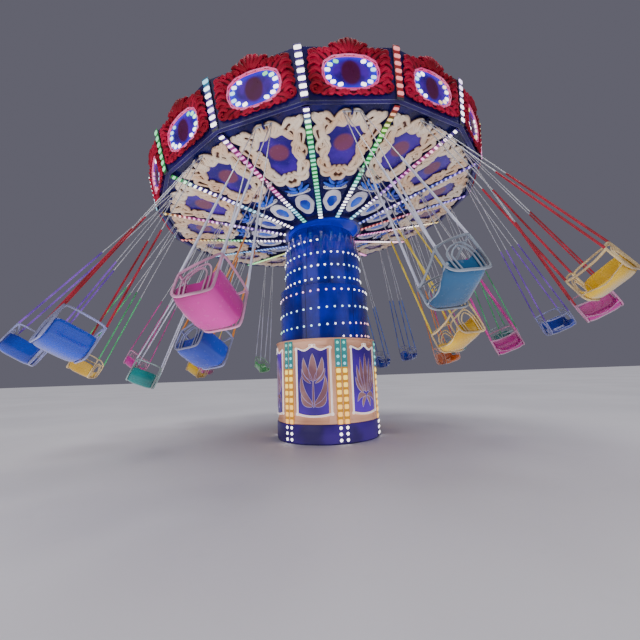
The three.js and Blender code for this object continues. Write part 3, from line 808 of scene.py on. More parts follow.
# %% Panel ornaments
PLATE_HALF_TURN = PANEL_HALF_ARC / PANEL_RADIUS
FLOWER_STALK = [((0, 0.72), (0, 1.3), 0.022, 0.0), ((0, 1.24), (0, 1.8), 0.085, 0.0)]
FLOWER_PAIRS = [
    ((0.035, 1.26), (0.2, 1.72), 0.062, -0.05), ((0.03, 0.78), (0.25, 1.36), 0.058, -0.09),
    ((0.03, 0.74), (0.27, 0.98), 0.05, -0.06), ((0.05, 1.2), (0.25, 1.5), 0.03, -0.05)]
FAN_STALK = [((0, 0.98), (0, 1.78), 0.066, 0.0)]
FAN_PAIRS = [
    ((0.045, 1.0), (0.15, 1.7), 0.052, -0.02), ((0.08, 1.0), (0.25, 1.54), 0.046, -0.03),
    ((0.1, 0.98), (0.29, 1.3), 0.04, -0.03), ((0.02, 0.92), (0.26, 0.8), 0.055, 0.07),
    ((0.02, 0.9), (0.12, 0.68), 0.04, 0.03)]


def ornament_leaves(stalk, pairs):
    """Leaves as base, tip, width and bend. Each of the pairs also gets its mirror image."""
    return stalk + [
        ((side * a0, b0), (side * a1, b1), width, side * bend)
        for (a0, b0), (a1, b1), width, bend in pairs for side in (1, -1)]


def leaf_edges(leaves, out, thickness):
    strokes = []
    for leaf in leaves:
        left, _, right = leaf_outline(*leaf)
        strokes.append([(a, b, out, thickness) for a, b in left + right[::-1]])
    return strokes


def frame_strokes():
    """The cream moulding: a double line with a wavy top, a shallow bowl below and curled corners."""
    strokes = []
    for gap, thickness in ((0.014, 0.011), (0.036, 0.006)):
        half = FIELD_HALF + gap
        us = [i / 10 - 1 for i in range(21)]
        strokes.append([(half * u, field_top(u) + gap, 0.004, thickness) for u in us])
        strokes.append([(half * u, field_bottom(u) - gap, 0.004, thickness) for u in us])
        top, low = field_top(1) + gap, field_bottom(1) - gap
        for side in (-1, 1):
            strokes.append([(side * half, top + (low - top) * i / 8, 0.004, thickness) for i in range(9)])
    corners = [
        curl(FIELD_HALF + 0.024, FIELD_TOP + 0.035, 0.034, -math.pi / 2, 1.1, 0.01, 0.006),
        curl(FIELD_HALF + 0.024, FIELD_LOW - 0.03, 0.034, math.pi / 2, -1.1, 0.01, 0.006),
        curl(0.045, FIELD_TOP + 0.085, 0.038, math.pi, -1.0, 0.01, 0.006),
        [(0.0, FIELD_TOP + 0.05, 0.006, 0.014), (0.0, FIELD_TOP + 0.13, 0.006, 0.004)]]
    return strokes + mirrored(corners)


for i in range(PILASTERS):
    middle = FIRST_PILASTER + (i + 0.5) * PILASTER_STEP
    number = i + 1
    plate = turned(
        f"panel_plate_{number}", band(1.1206, 1.134, 0.56, 1.95), 16,
        middle - PLATE_HALF_TURN, 2 * PLATE_HALF_TURN)
    modify(plate, "BEVEL", width=0.004, segments=2, limit_method="ANGLE")
    dress(plate, "base", drum_gold, [f"drum_panel_{number}"])
    rule = wrap(middle, PANEL_RADIUS)
    leaves = ornament_leaves(FLOWER_STALK, FLOWER_PAIRS) if i % 2 else ornament_leaves(FAN_STALK, FAN_PAIRS)
    dress(field_on(f"panel_field_{number}", rule), "base", panel_purple)
    ornament = leaves_on(f"panel_leaves_{number}", leaves, rule, 0.004, 0.0035)
    dress(ornament, "base", leaf_mauve)
    edges = swept(f"panel_outline_{number}", leaf_edges(leaves, 0.005, 0.0045), rule, sides=1, closed=True)
    dress(edges, "base", outline_lilac)
    dress(swept(f"panel_moulding_{number}", frame_strokes(), rule, sides=1), "base", trim_cream)
print("panels:", PILASTERS)

# %% [markdown]
# Twelve lamps stand in each column, on a channel painted with their glow: the upper four are round
# and cool, the lower eight square and amber. Six round white lamps sit on the plinth under each pilaster.

# %% Drum and plinth lamps
LAMP_ROWS = 12
COOL_ROWS = 4
TOP_ROW, ROW_PITCH = 2.008, 0.1432
COLUMN_OFFSET = math.radians(3.5)
PLINTH_TOP_LAMP, PLINTH_LAMP_PITCH = 0.315, 0.117
# Painted glow on the drum's channels: cool under the round lamps, amber under the square ones.
COOL_GLOW, WARM_GLOW = (0.05, 0.7, 0.75), (2.4, 1.0, 0.02)
square_lamp = lens("square_lamp", 0.09, 0.09, 0.014, 0.2)
cool_dome = dome("cool_dome", 0.033, 0.018)
small_dome = dome("small_dome", 0.032, 0.018)
column_channel = backing("column_channel", 0.122, ROW_PITCH - 0.001)


def outward_at(angle, radius, height):
    """A place on an upright wall that looks straight outwards."""
    looking = Matrix.Rotation(angle, 4, "Z") @ Matrix.Rotation(math.pi / 2, 4, "X")
    spot = Vector((radius * math.sin(angle), -radius * math.cos(angle), height))
    return Matrix.Translation(spot) @ looking


cool_lamps, warm_lamps, channels, plinth_lamps = [], [], [], []
for i in range(2 * PILASTERS):
    angle = FIRST_PILASTER + i // 2 * PILASTER_STEP + (i % 2 * 2 - 1) * COLUMN_OFFSET
    for row in range(LAMP_ROWS):
        height = TOP_ROW - row * ROW_PITCH
        place = outward_at(angle, PILASTER_RADIUS + 0.001, height)
        if row < COOL_ROWS:
            cool_lamps.append((place, hue("TC", row / (COOL_ROWS - 1))))
        else:
            warm_lamps.append((place, hue("YA", (row - COOL_ROWS) / (LAMP_ROWS - COOL_ROWS - 1))))
        tint = COOL_GLOW if row < COOL_ROWS else WARM_GLOW
        channels.append((outward_at(angle, PILASTER_RADIUS - CHANNEL_SINK, height), tint))
    for row in range(3):
        place = outward_at(angle, 1.151, PLINTH_TOP_LAMP - row * PLINTH_LAMP_PITCH)
        plinth_lamps.append((place, HUES["W"]))
scattered("drum_cool_lamps", cool_dome, cool_lamps, "base", lamp_bright, 0.1)
scattered("drum_warm_lamps", square_lamp, warm_lamps, "base", lamp_soft, 0.1)
scattered("drum_lamp_channels", column_channel, channels, "base", lamp_channel, 0)
scattered("plinth_lamps", small_dome, plinth_lamps, "base", lamp_bright)

# %% [markdown]
# The tower is two sleeves, one inside the other, so that the canopy can rise. The upper one tapers
# and ends in a shallow cap. The lower one has a rolled foot, which stiffens its thin shell, and a
# lip at its top that closes the gap between them.

# %% Sleeves
LOWER_LOW, LOWER_TOP = 2.1108, 3.31
UPPER_LOW, SHOULDER, UPPER_TOP = 2.628, 4.3, 4.73
UPPER_LOW_RADIUS, SHOULDER_RADIUS, UPPER_TOP_RADIUS = 0.925, 0.905, 0.78

lower_sleeve = turned("lower_sleeve_shell", [
    (1.028, LOWER_LOW), (1.036, LOWER_LOW), (1.04, 2.116), (1.04, 2.13), (1.035, 2.14),
    (1.035, 3.28), (1.028, 3.3), (1.01, LOWER_TOP), (0.94, LOWER_TOP), (0.936, 3.304), (0.94, 3.298),
    (1.01, 3.296), (1.02, 3.28), (1.024, 2.14)], ROUND)
dress(lower_sleeve, "base", sleeve_blue, ["lower_sleeve"])
upper_sleeve = turned("upper_sleeve_shell", [
    (0.913, UPPER_LOW), (0.922, UPPER_LOW), (0.9235, 2.66), (SHOULDER_RADIUS, 4.28), (0.9, 4.32),
    (0.79, 4.695), (0.773, 4.722), (0.745, 4.738), (0.37, 4.819), (0.366, 4.808), (0.74, 4.727),
    (0.76, 4.71), (0.776, 4.69), (0.886, 4.315), (0.893, 4.28), (0.911, 2.66)], ROUND)
dress(upper_sleeve, "lift", sleeve_blue, ["upper_sleeve"])
print("sleeves turned, heights", LOWER_LOW, "to", UPPER_TOP)

# %% [markdown]
# One string of round lamps winds down both sleeves as a helix, about seven times. It is fixed to
# each sleeve, so it is two pieces, and each lamp tips with the wall that it sits on.

# %% The lamp helix
TURN_HEIGHTS = [4.33, 4.03, 3.74, 3.44, 3.148, 2.766, 2.398, 2.13]
LAMPS_PER_TURN = 38
HELIX_START = math.radians(-6)
round_lamp = dome("round_lamp", 0.024, 0.014)


def helix_height(turns):
    """The height after some turns, read between the heights where the string passes the front."""
    i = min(int(turns), len(TURN_HEIGHTS) - 2)
    return TURN_HEIGHTS[i] + (TURN_HEIGHTS[i + 1] - TURN_HEIGHTS[i]) * (turns - i)


def helix_colour(turns):
    """White and cyan above. Below, each turn runs through its own colours from right to left."""
    front = round(turns)
    if front <= 3:
        return hue("WICWCW", (turns * 1.3) % 1)
    return hue({4: "CWWIMPIWW", 5: "BWWCCCYYW"}.get(front, "VPRPCTGWW"), turns - front + 0.5)


def sleeve_place(turns):
    """The place of a lamp on the sleeve that covers this height, and whether that is the upper."""
    height = helix_height(turns)
    upper = height > LOWER_TOP + 0.02
    radius, slope = 1.034, 0.0
    if upper and height < SHOULDER:
        slope = (UPPER_LOW_RADIUS - SHOULDER_RADIUS) / (SHOULDER - UPPER_LOW)
        radius = UPPER_LOW_RADIUS - 0.002 - slope * (height - UPPER_LOW)
    elif upper:
        slope = (SHOULDER_RADIUS - UPPER_TOP_RADIUS) / (UPPER_TOP - SHOULDER)
        radius = SHOULDER_RADIUS - 0.002 - slope * (height - SHOULDER)
    lean = Matrix.Rotation(math.atan(slope), 4, "X")
    return outward_at(HELIX_START - turns * TURN, radius, height) @ lean, upper


lower_lamps, upper_lamps = [], []
for i in range(int((len(TURN_HEIGHTS) - 1.05) * LAMPS_PER_TURN)):
    turns = i / LAMPS_PER_TURN
    place, upper = sleeve_place(turns)
    (upper_lamps if upper else lower_lamps).append((place, helix_colour(turns)))
scattered("upper_sleeve_lamps", round_lamp, upper_lamps, "lift", lamp_bright, 0.7)
scattered("lower_sleeve_lamps", round_lamp, lower_lamps, "base", lamp_bright, 0.7)

# %% [markdown]
# The mast, the lift tube and the tilt head are hidden steelwork, seen only through gaps. Their
# solids are right as they are. The mast gets a worn grey paint here, and the other two get the
# hub's painted blue glow when the canopy is painted.

# %% Steelwork


def refinish(name, finish):
    """Gives a measured solid its finish without touching its shape."""
    solid = frame["nodes"][name]
    solid.data.materials.clear()
    solid.data.materials.append(finish.material)
    print(name, "is painted", finish.material.name)


refinish("mast", steel_grey)

# %% [markdown]
# The canopy's finishes are painted in the canopy's own round coordinates. From the position, the
# maths finds the distance from the axis, the sector and how far across that sector a point lies.
# So one tree paints sixteen fields, each with a soft rose disc in the middle.

# %% Finishes of the canopy


def canopy_coordinates(finish):
    """Across the sector, outwards and up, in metres on the canopy."""
    turn_back = {"Vector": finish.place, "Location": pivot, "Rotation": CANOPY.to_euler()}
    x, y, z = finish.parts(finish.node("Mapping", {"vector_type": "TEXTURE"}, turn_back))
    radius = finish.sum("SQRT", x * x + y * y)
    angle = finish.sum("ARCTAN2", x, y * -1.0)
    phase = finish.sum("FRACT", angle / SECTOR + 16.0) - 0.5
    across = finish.sum("SINE", phase * SECTOR) * radius
    outwards = finish.sum("COSINE", phase * SECTOR) * radius
    return across, outwards, z


def distance(finish, a, b):
    return finish.sum("SQRT", a * a + b * b)


ceiling_paint = Finish("ceiling_paint", Coat_Weight=0.4, Coat_Roughness=0.2)
mix, step, noise = ceiling_paint.mix, ceiling_paint.step, ceiling_paint.noise
across, outwards, _ = canopy_coordinates(ceiling_paint)
cloud = noise(2.5, 4)
inside = step(outwards, 2.2, 2.3) * step(3.3 - outwards, 0.0, 0.1)
inside = inside * step(0.4 - ceiling_paint.sum("ABSOLUTE", across), 0.0, 0.06)
disc_share = step(distance(ceiling_paint, across, outwards - 2.86), 0.2, 0.14)
tone = mix(step(cloud, 0.3, 0.7), (0.003, 0.003, 0.05), (0.01, 0.008, 0.14))
field = mix(step(cloud, 0.35, 0.65), (0.02, 0.003, 0.22), (0.07, 0.012, 0.45))
tone = mix(disc_share * 0.85, mix(inside, tone, field), (0.24, 0.06, 0.09))
scuff = step(noise(22, 5, rough=0.65), 0.55, 0.8)
ceiling_paint.feed(Base_Color=mix(scuff * 0.15, tone, (0.2, 0.16, 0.3)), Roughness=scuff * 0.25 + 0.22)
ceiling_paint.bump(noise(14, 3), 0.0015)

rib_paint = painted("rib_paint", (0.004, 0.002, 0.04), (0.01, 0.005, 0.1), 0.3, wear=0.1, Coat_Weight=0.2)
rim_navy = painted("rim_navy", (0.006, 0.002, 0.06), (0.016, 0.004, 0.16), 0.35, wear=0.05, Coat_Weight=0.2)
# The crimson carving is darkened in its grooves with painted shade.
rim_crimson = painted(
    "rim_crimson", (0.26, 0.001, 0.012), (0.62, 0.008, 0.06), 0.5, grain=8, wear=0.05,
    groove=(0.05, 0.0, 0.01), Specular_IOR_Level=0.25)
# The rose rings round the mirrors are a painted highlight: rose paint with a faint painted glow.
rose_highlight = painted(
    "rose_highlight", (0.9, 0.1, 0.3), (1.0, 0.34, 0.55), 0.3, grain=9, wear=0.1,
    Emission_Strength=0.3, Emission_Color=(1.0, 0.05, 0.3, 1))
# The gilt scrolls are darkened to brown in their grooves and on their sides with painted shade.
scroll_gilt = painted(
    "scroll_gilt", (0.9, 0.62, 0.4), (1.0, 0.86, 0.68), 0.3, grain=7, wear=0.05, groove=(0.1, 0.03, 0.02),
    Coat_Weight=0.3)
silver_trim = painted(
    "silver_trim", (0.68, 0.68, 0.78), (0.95, 0.95, 1.0), 0.25, grain=6, wear=0.1, Metallic=0.1)
dark_chrome = painted("dark_chrome", (0.1, 0.1, 0.2), (0.3, 0.3, 0.5), 0.2, grain=6, wear=0.1, Metallic=0.8)
# The hub's blue glow is painted light: the lining and the hidden steel inside the hub glow, though they hold
# no lamps.
hub_glow = painted(
    "hub_glow", (0.01, 0.02, 0.5), (0.02, 0.06, 0.9), 0.3, wear=0.1,
    Emission_Strength=0.3, Emission_Color=(0.01, 0.03, 0.7, 1))
gem_blue = painted(
    "gem_blue", (0.01, 0.03, 0.45), (0.03, 0.16, 0.95), 0.1, grain=9, wear=0.05, Coat_Weight=1.0)
lamp_housing = painted("lamp_housing", (0.03, 0.03, 0.04), (0.09, 0.09, 0.11), 0.4, wear=0.2)
roof_navy = painted("roof_navy", (0.01, 0.012, 0.06), (0.02, 0.03, 0.14), 0.45, grain=2, wear=0.5)
print("finishes with the canopy's:", len(bpy.data.materials))

# %% [markdown]
# The oval fields in the rim's frames are dark red in the middle, a painted reflection, violet round
# it and blue towards their edge, where the blue is the painted glow of their lamps. They also glow a
# little all over, painted light, because each has two arcs of lamps on it.

# %% Finish of the oval fields
MIRROR_MIDDLE_Z = 0.405
mirror_blue = Finish(
    "mirror_blue", Coat_Weight=0.3, Coat_Roughness=0.2, Specular_IOR_Level=0.3, Emission_Strength=0.5)
mix, step, noise = mirror_blue.mix, mirror_blue.step, mirror_blue.noise
across, outwards, height = canopy_coordinates(mirror_blue)
above = height - MIRROR_MIDDLE_Z
haze = noise(5, 3)
tone = mix(step(haze, 0.3, 0.7), (0.02, 0.002, 0.14), (0.07, 0.004, 0.36))
# Painted glow of the arc lamps: blue towards the edge.
tone = mix(step(distance(mirror_blue, across * 0.6, above), 0.14, 0.27), tone, (0.01, 0.02, 1.0))
# Painted reflection: a dark red disc in the middle.
tone = mix(step(distance(mirror_blue, across, above * 0.8), 0.17, 0.12) * 0.9, tone, (0.06, 0.002, 0.02))
# The tone also glows, a painted glow.
mirror_blue.feed(Base_Color=tone, Emission_Color=tone, Roughness=haze * 0.2 + 0.2)
mirror_blue.bump(noise(9, 2), 0.002)
print("nodes in the oval finish:", len(mirror_blue.tree.nodes))

# %% [markdown]
# The ceiling, the ribs and the roof keep their measured solids, which are flat sheets and beams in
# reality too. The hub is turned anew, because its glossy skin is round where the solid has flats.

# %% Canopy shell
# The lift tube and the tilt head take the hub's painted blue glow.
for name, finish in (
        ("canopy_ceiling", ceiling_paint), ("lamp_ribs", rib_paint), ("canopy_roof", roof_navy),
        ("lift_tube", hub_glow), ("tilt_head", hub_glow)):
    refinish(name, finish)
CEILING_SLOPE = 0.462 / 2.7295


def ceiling_z(radius):
    """The height of the ceiling's underside along a rib, on the canopy."""
    return -0.419 + CEILING_SLOPE * (radius - 0.9005)


def on_canopy(piece):
    """Carries a piece that was modelled upright to its place on the canopy."""
    piece.data.transform(CANOPY)
    return piece


def copied(piece, name, place):
    """A copy with its own mesh, carried to its place."""
    mesh = piece.data.copy()
    mesh.name = name
    mesh.transform(place)
    twin = bpy.data.objects.new(name, mesh)
    bpy.context.collection.objects.link(twin)
    return twin


def sector_place(k):
    """Carries what was modelled at the front to the canopy, k sectors on. Middles lie at halves."""
    return CANOPY @ Matrix.Rotation(k * SECTOR, 4, "Z")


def sixteen(part, finish, shift=0.5):
    """Takes a piece that was modelled at the front away and puts one copy into each sector."""
    for k in range(SECTORS):
        dress(copied(part, f"{part.name}_{k + 1}", sector_place(k + shift)), "canopy", finish)
    print(part.name, "faces:", len(part.data.polygons))
    bpy.data.objects.remove(part)


hub = turned("hub_shell", [
    (0.872, -0.46), (0.95, -0.46), (0.958, -0.455), (0.96, -0.445), (0.96, ceiling_z(0.96) - 0.0005),
    (0.9, ceiling_z(0.9) - 0.0005), (0.9, 0.262), (0.892, 0.27), (0, 0.27), (0, 0.2305),
    (0.872, 0.2305)], ROUND)
# The lining inside the hub takes the painted blue glow.
lining = turned("hub_lining", [
    (0.521, -0.372), (0.868, -0.372), (0.868, -0.459), (0.8715, -0.459), (0.8715, 0.2295), (0.868, 0.2295),
    (0.868, -0.355), (0.521, -0.355)], ROUND)
for part, finish in ((hub, sleeve_blue), (lining, hub_glow)):
    dress(on_canopy(part), "canopy", finish, ["canopy_hub"])

# %% [markdown]
# The roof is shallow and seldom seen. Its sheets meet on the ribs, under sixteen battens that keep
# the rain out, and a round cap covers the point where they all meet.

# %% Roof battens
ROOF_PEAK, ROOF_EDGE_RADIUS, ROOF_EDGE_Z = 1.0, 3.765, 0.74
BATTEN_INNER, BATTEN_OUTER = 0.28, 3.7
BATTEN_SIZE = (0.07, BATTEN_OUTER - BATTEN_INNER, 0.02)
batten = bar("roof_batten", BATTEN_SIZE, (0, -(BATTEN_OUTER + BATTEN_INNER) / 2, 0.01), 0.006)
for vertex in batten.data.vertices:
    vertex.co.z += ROOF_PEAK + (ROOF_EDGE_Z - ROOF_PEAK) * -vertex.co.y / ROOF_EDGE_RADIUS + 0.001
smooth(batten)
sixteen(batten, rib_paint, shift=0)
cap = turned("roof_cap", [
    (0, 0.99), (0.33, 0.985), (0.34, 0.992), (0.335, 1.004), (0.26, 1.018), (0.1, 1.028), (0, 1.03)], 32)
dress(on_canopy(cap), "canopy", roof_navy)

# %% [markdown]
# The rim is a sixteen-sided wall that leans outwards. It is turned in sixteen steps, so that it
# keeps its flats, with a shelf inside for the roof. Sixteen housings for lamps stand on its corners.

# %% Rim wall
RIM_LOW_RADIUS, RIM_LOW_Z = 3.715, 0.0
RIM_HIGH_RADIUS, RIM_HIGH_Z = 3.832, 0.81
RIM_LEAN = math.atan2(RIM_HIGH_RADIUS - RIM_LOW_RADIUS, RIM_HIGH_Z - RIM_LOW_Z)
FACE_HEIGHT = math.hypot(RIM_HIGH_RADIUS - RIM_LOW_RADIUS, RIM_HIGH_Z - RIM_LOW_Z)
STRIP_DEPTH = 0.022
TRIM_HALF = 0.005


def rim_rule(radius):
    """Lays flat points on the leaning rim at the front: across, up the face, out of it."""
    def rule(a, b, h):
        out = b * math.sin(RIM_LEAN) + h * math.cos(RIM_LEAN)
        return Vector((a, -radius - out, RIM_LOW_Z + b * math.cos(RIM_LEAN) - h * math.sin(RIM_LEAN)))
    return rule


on_face = rim_rule(RIM_LOW_RADIUS * math.cos(HALF_SECTOR))
on_corner = rim_rule(RIM_LOW_RADIUS)
rim = turned("rim_wall", [
    (3.56, 0.0565), (3.6305, 0.0683), (3.6305, 0.016), (3.66, 0.0), (3.707, 0.0), (3.7135, 0.004),
    (3.717, 0.012), (RIM_HIGH_RADIUS - 0.001, RIM_HIGH_Z - 0.006), (3.826, RIM_HIGH_Z),
    (3.797, RIM_HIGH_Z), (3.792, 0.804), (3.782, 0.7395), (3.742, 0.7395), (3.742, 0.715), (3.77, 0.69),
    (3.689, 0.1), (3.56, 0.086)], SECTORS, smooth_angle=15)
dress(on_canopy(rim), "canopy", rim_navy, [f"rim_quarter_{i + 1}" for i in range(4)])

trims = []
for radius, height in ((3.7175, 0.012), (3.662, 0.0)):
    angles = [i * TURN / 8 for i in range(8)]
    section = [(radius + TRIM_HALF * math.cos(a), height + TRIM_HALF * math.sin(a)) for a in angles]
    trims.append(turned(f"rim_trim_{len(trims) + 1}", section, SECTORS))
only(*trims)
bpy.ops.object.join()
dress(on_canopy(trims[0]), "canopy", dark_chrome)
STRIP_SIZE = (0.12, FACE_HEIGHT - 0.012, STRIP_DEPTH)
housing = bar("lamp_strip", STRIP_SIZE, (0, FACE_HEIGHT / 2, STRIP_DEPTH / 2), 0.006)
for vertex in housing.data.vertices:
    vertex.co = on_corner(*vertex.co)
smooth(housing)
sixteen(housing, lamp_housing, shift=0)
print("rim stands", round(FACE_HEIGHT, 3), "m high")

# %% [markdown]
# The rim and the ceiling both wear carved frames: broad glass-fibre mouldings between an outer
# outline and an opening. Each starts as a disc that is inset ring by ring. The middle is cut out,
# the rings are laid between the two outlines, and a relief lifts them. The share of that lift is
# kept in an attribute, so that the paint puts painted shade in the grooves and full colour on the ridges.

# %% Carved frames


def carved(name, outline, rings, relief, rule, thickness):
    """A relief between two closed outlines of (outer a, outer b, inner a, inner b) points."""
    count = len(outline)
    step = 0.8 / rings
    ridge = []

    def lay(angle, reach, _):
        across = min(1.0, round((1 - reach) / step) / rings)
        along = round((angle - TURN / 4) % TURN / TURN * count) % count
        a0, b0, a1, b1 = outline[along]
        lift, share = relief(along / count, across)
        ridge.extend((share, share, share, 1.0))
        return rule(a0 + (a1 - a0) * across, b0 + (b1 - b0) * across, lift)

    piece = disc(name, count, [(step, 0)] * rings, lay, hollow=True)
    # The ridge attribute drives painted shade: full on the ridges, low in the grooves, where the paint
    # darkens.
    shaded(piece, "ridge", ridge)
    modify(piece, "SOLIDIFY", thickness=thickness, offset=-1)
    smooth(piece, 60)
    return piece


def whole(half):
    """A half outline from the top to the bottom, completed by its mirror image."""
    return [[-a0, b0, -a1, b1] for a0, b0, a1, b1 in half] + half[-2:0:-1]


def folded(along):
    """The share of the way down either side, so that a relief is the same on both."""
    return 2 * min(along, 1 - along)


def leaf(points, wide):
    """A leaf stroke: full near its foot, thin at its tip."""
    line = through(points, 4)
    last = len(line) - 1
    shares = [0.35 + 0.65 * math.sin(math.pi * min(1, 0.25 + 0.75 * i / last)) for i in range(last)] + [0.08]
    return [(*point, wide * share) for point, share in zip(line, shares)]


def shade_by_facing(piece, rule):
    """Gives strokes the same attribute as the carved plates: painted shade on their sides, full colour where
    they face outwards.
    """
    facing = (rule(0, 0, 1) - rule(0, 0, 0)).normalized()
    shares = [max(0.1, 0.45 + 0.55 * vertex.normal.dot(facing)) for vertex in piece.data.vertices]
    shaded(piece, "ridge", [c for share in shares for c in (share, share, share, 1.0)])
    return piece


# %% [markdown]
# Each flat of the rim carries a crimson frame, moulded like carved wood. Waves of small feathers run
# out from an oval mirror to a ragged edge, and a crest of lobes rises above the rim. First come the
# two outlines and the relief between them.

# %% Frame outlines and relief
MIRROR_MIDDLE = 0.408
MIRROR_HALF, MIRROR_RISE = 0.418, 0.248
RING_POWER = 2.6
FEATHERS = 11
EDGE = [
    (0, 0.925), (0.05, 0.915), (0.085, 0.875), (0.135, 0.885), (0.18, 0.855), (0.19, 0.805), (0.26, 0.815),
    (0.31, 0.775), (0.36, 0.765), (0.43, 0.775), (0.48, 0.745), (0.55, 0.765), (0.615, 0.735), (0.6, 0.67),
    (0.64, 0.61), (0.612, 0.54), (0.645, 0.47), (0.615, 0.4), (0.642, 0.33), (0.612, 0.26), (0.64, 0.19),
    (0.61, 0.12), (0.54, 0.085), (0.45, 0.1), (0.37, 0.068), (0.28, 0.088), (0.19, 0.062), (0.1, 0.082),
    (0, 0.062)]


def rounded_point(angle, half_width, half_height):
    """A point on an oval with full corners."""
    c, s = math.cos(angle), math.sin(angle)
    return (
        half_width * math.copysign(abs(c) ** (2 / RING_POWER), c),
        MIRROR_MIDDLE + half_height * math.copysign(abs(s) ** (2 / RING_POWER), s))


def oval(half_width, half_height, out, thickness, wobble=0.0, count=72):
    """A closed ring, whose reach may wobble like a carved edge."""
    ring = []
    for i in range(count):
        angle = i * TURN / count
        swell = 1 + wobble * math.cos(12 * angle)
        ring.append((*rounded_point(angle, half_width * swell, half_height * swell), out, thickness * swell))
    return ring


def bulged(name, corners, insets, low, high, belly, lay, angle):
    """A plate with a raised middle between two heights over the face."""
    plate = disc(name, corners, insets, lambda turn, reach, z: lay(turn, reach, high + z * belly))
    modify(plate, "SOLIDIFY", thickness=high - low, offset=-1)
    smooth(plate, angle)
    return plate


def feathered(along, across):
    """Broad feathers that curve out from the mirror, each with a sharp ridge and a fine grain."""
    turn = FEATHERS * folded(along) + 0.55 * math.sin(math.pi * across) + 0.25 * across
    wave = (0.5 + 0.5 * math.cos(TURN * turn)) ** 0.7
    grain = 0.5 + 0.5 * math.cos(TURN * 4 * turn)
    swell = 0.01 + 0.022 * math.sin(math.pi * (0.15 + 0.75 * across))
    # The second number is the ridge share: low between the feathers, where the paint puts painted shade.
    return swell + 0.026 * wave + 0.003 * grain, 0.85 * wave + 0.15 * grain


def with_opening(points, half_width, half_height):
    """Pairs each point of an outer edge with the point of the oval that faces it."""
    pairs = []
    for a, b in points:
        angle = math.atan2((b - MIRROR_MIDDLE) / half_height, a / half_width)
        pairs.append((a, b, *rounded_point(angle, half_width, half_height)))
    return pairs


frame_outline = whole(with_opening(through(EDGE, 5), MIRROR_HALF, MIRROR_RISE))
print("points round a frame:", len(frame_outline))

# %% [markdown]
# Separate leaves and small scrolls lie on the carving, drawn on the right half and mirrored. Two
# rings hold the mirror, which bulges a little; their rose colour and faint glow are a painted
# highlight. One frame is modelled and copied sixteen times.

# %% Crimson frames
leaves = [
    leaf([(reach * 0.35, 0.7, 0.05), (reach * 1.1, 0.79, 0.062), (reach, top, 0.03)], wide)
    for reach, top, wide in ((0.185, 0.85, 0.034), (0.125, 0.885, 0.036), (0.055, 0.925, 0.034))]
leaves += [curl(*spiral, 0.021, 0.038) for spiral in (
    (0.235, 0.785, 0.05, 0.2, 1.2), (0.56, 0.145, 0.05, 2.0, -1.2), (0.555, 0.7, 0.055, -2.0, 1.2),
    (0.36, 0.72, 0.045, 2.6, -1.1), (0.095, 0.84, 0.045, 0.6, 1.1))]
for i in range(5):
    rise = 0.2 + i * 0.1
    tip = (0.638, rise + 0.005, 0.02)
    leaves.append(leaf([(0.455, rise, 0.045), (0.54, rise + 0.045, 0.056), tip], 0.03))
for i in range(4):
    a = 0.06 + i * 0.11
    leaves.append(leaf([(a, 0.135, 0.034), (a + 0.05, 0.085, 0.042), (a + 0.1, 0.12, 0.026)], 0.027))
    leaves.append(leaf([(a, 0.69, 0.045), (a + 0.055, 0.735, 0.052), (a + 0.11, 0.7, 0.03)], 0.028))
crest_leaf = leaf([(0, 0.7, 0.05), (0, 0.82, 0.062), (0, 0.925, 0.03)], 0.038)

frame_plate = carved("frame_carving", frame_outline, 7, feathered, on_face, 0.012)
carving = shade_by_facing(swept("frame_leaves", mirrored(leaves) + [crest_leaf], on_face, sides=1), on_face)
bead = swept("frame_bead", [
    oval(0.43, 0.26, 0.036, 0.014, 0.014), oval(0.405, 0.238, 0.028, 0.008)], on_face, sides=1, closed=True)
mirror = bulged(
    "frame_mirror", 48, [(0.3, 0.5), (0.3, 0.35), (0.25, 0.15)], 0.004, 0.014, 0.014,
    lambda turn, reach, out: on_face(*rounded_point(turn, 0.425 * reach, 0.256 * reach), out), 30)
for part, finish in (
        (frame_plate, rim_crimson), (carving, rim_crimson), (bead, rose_highlight), (mirror, mirror_blue)):
    sixteen(part, finish)

# %% [markdown]
# The rim's lamps are of two sizes: wide bars on the corner housings, seven to a corner, and small
# bars in two arcs in each mirror. The wide bars sit in channels painted with their glow. Each word
# of letters is one row's run of hues, and a slash parts a mirror's left arc from its right one.

# %% Rim lamps
BARS = 7
LOWEST_BAR, BAR_PITCH = 0.092, 0.1145
ARC_LAMPS = 6
ARC_FIRST, ARC_STEP = math.radians(-66), math.radians(25)
ARC_HALF, ARC_RISE = 0.352, 0.188
BAR_RUNS = "WW RR WI MY MP RY YL GT CB PR VM BV TC CW GG WIWC".split()
ARC_RUNS = (
    "WWG/WCW WCW/YWY WY/YW PM/VP GW/WB YW/PW RW/CW GW/WB "
    "YW/PW RW/CW GW/WB YW/PW RW/CW RP/CW WC/WG WCW/WWG").split()
bar_lamp = lens("bar_lamp", 0.108, 0.056, 0.018, 0.22)
arc_lamp = lens("arc_lamp", 0.08, 0.05, 0.016, 0.3)
bar_channel = backing("bar_channel", 0.113, BAR_PITCH - 0.001)


def face_place(rule, a, b, h, spin=0.0):
    """A place on the rim whose Z looks out of the face and whose Y looks up it."""
    spot = rule(a, b, h)
    columns = (Vector((1, 0, 0)), (rule(a, b + 1, h) - spot), (rule(a, b, h + 1) - spot))
    return Matrix.Translation(spot) @ Matrix(columns).transposed().to_4x4() @ Matrix.Rotation(spin, 4, "Z")


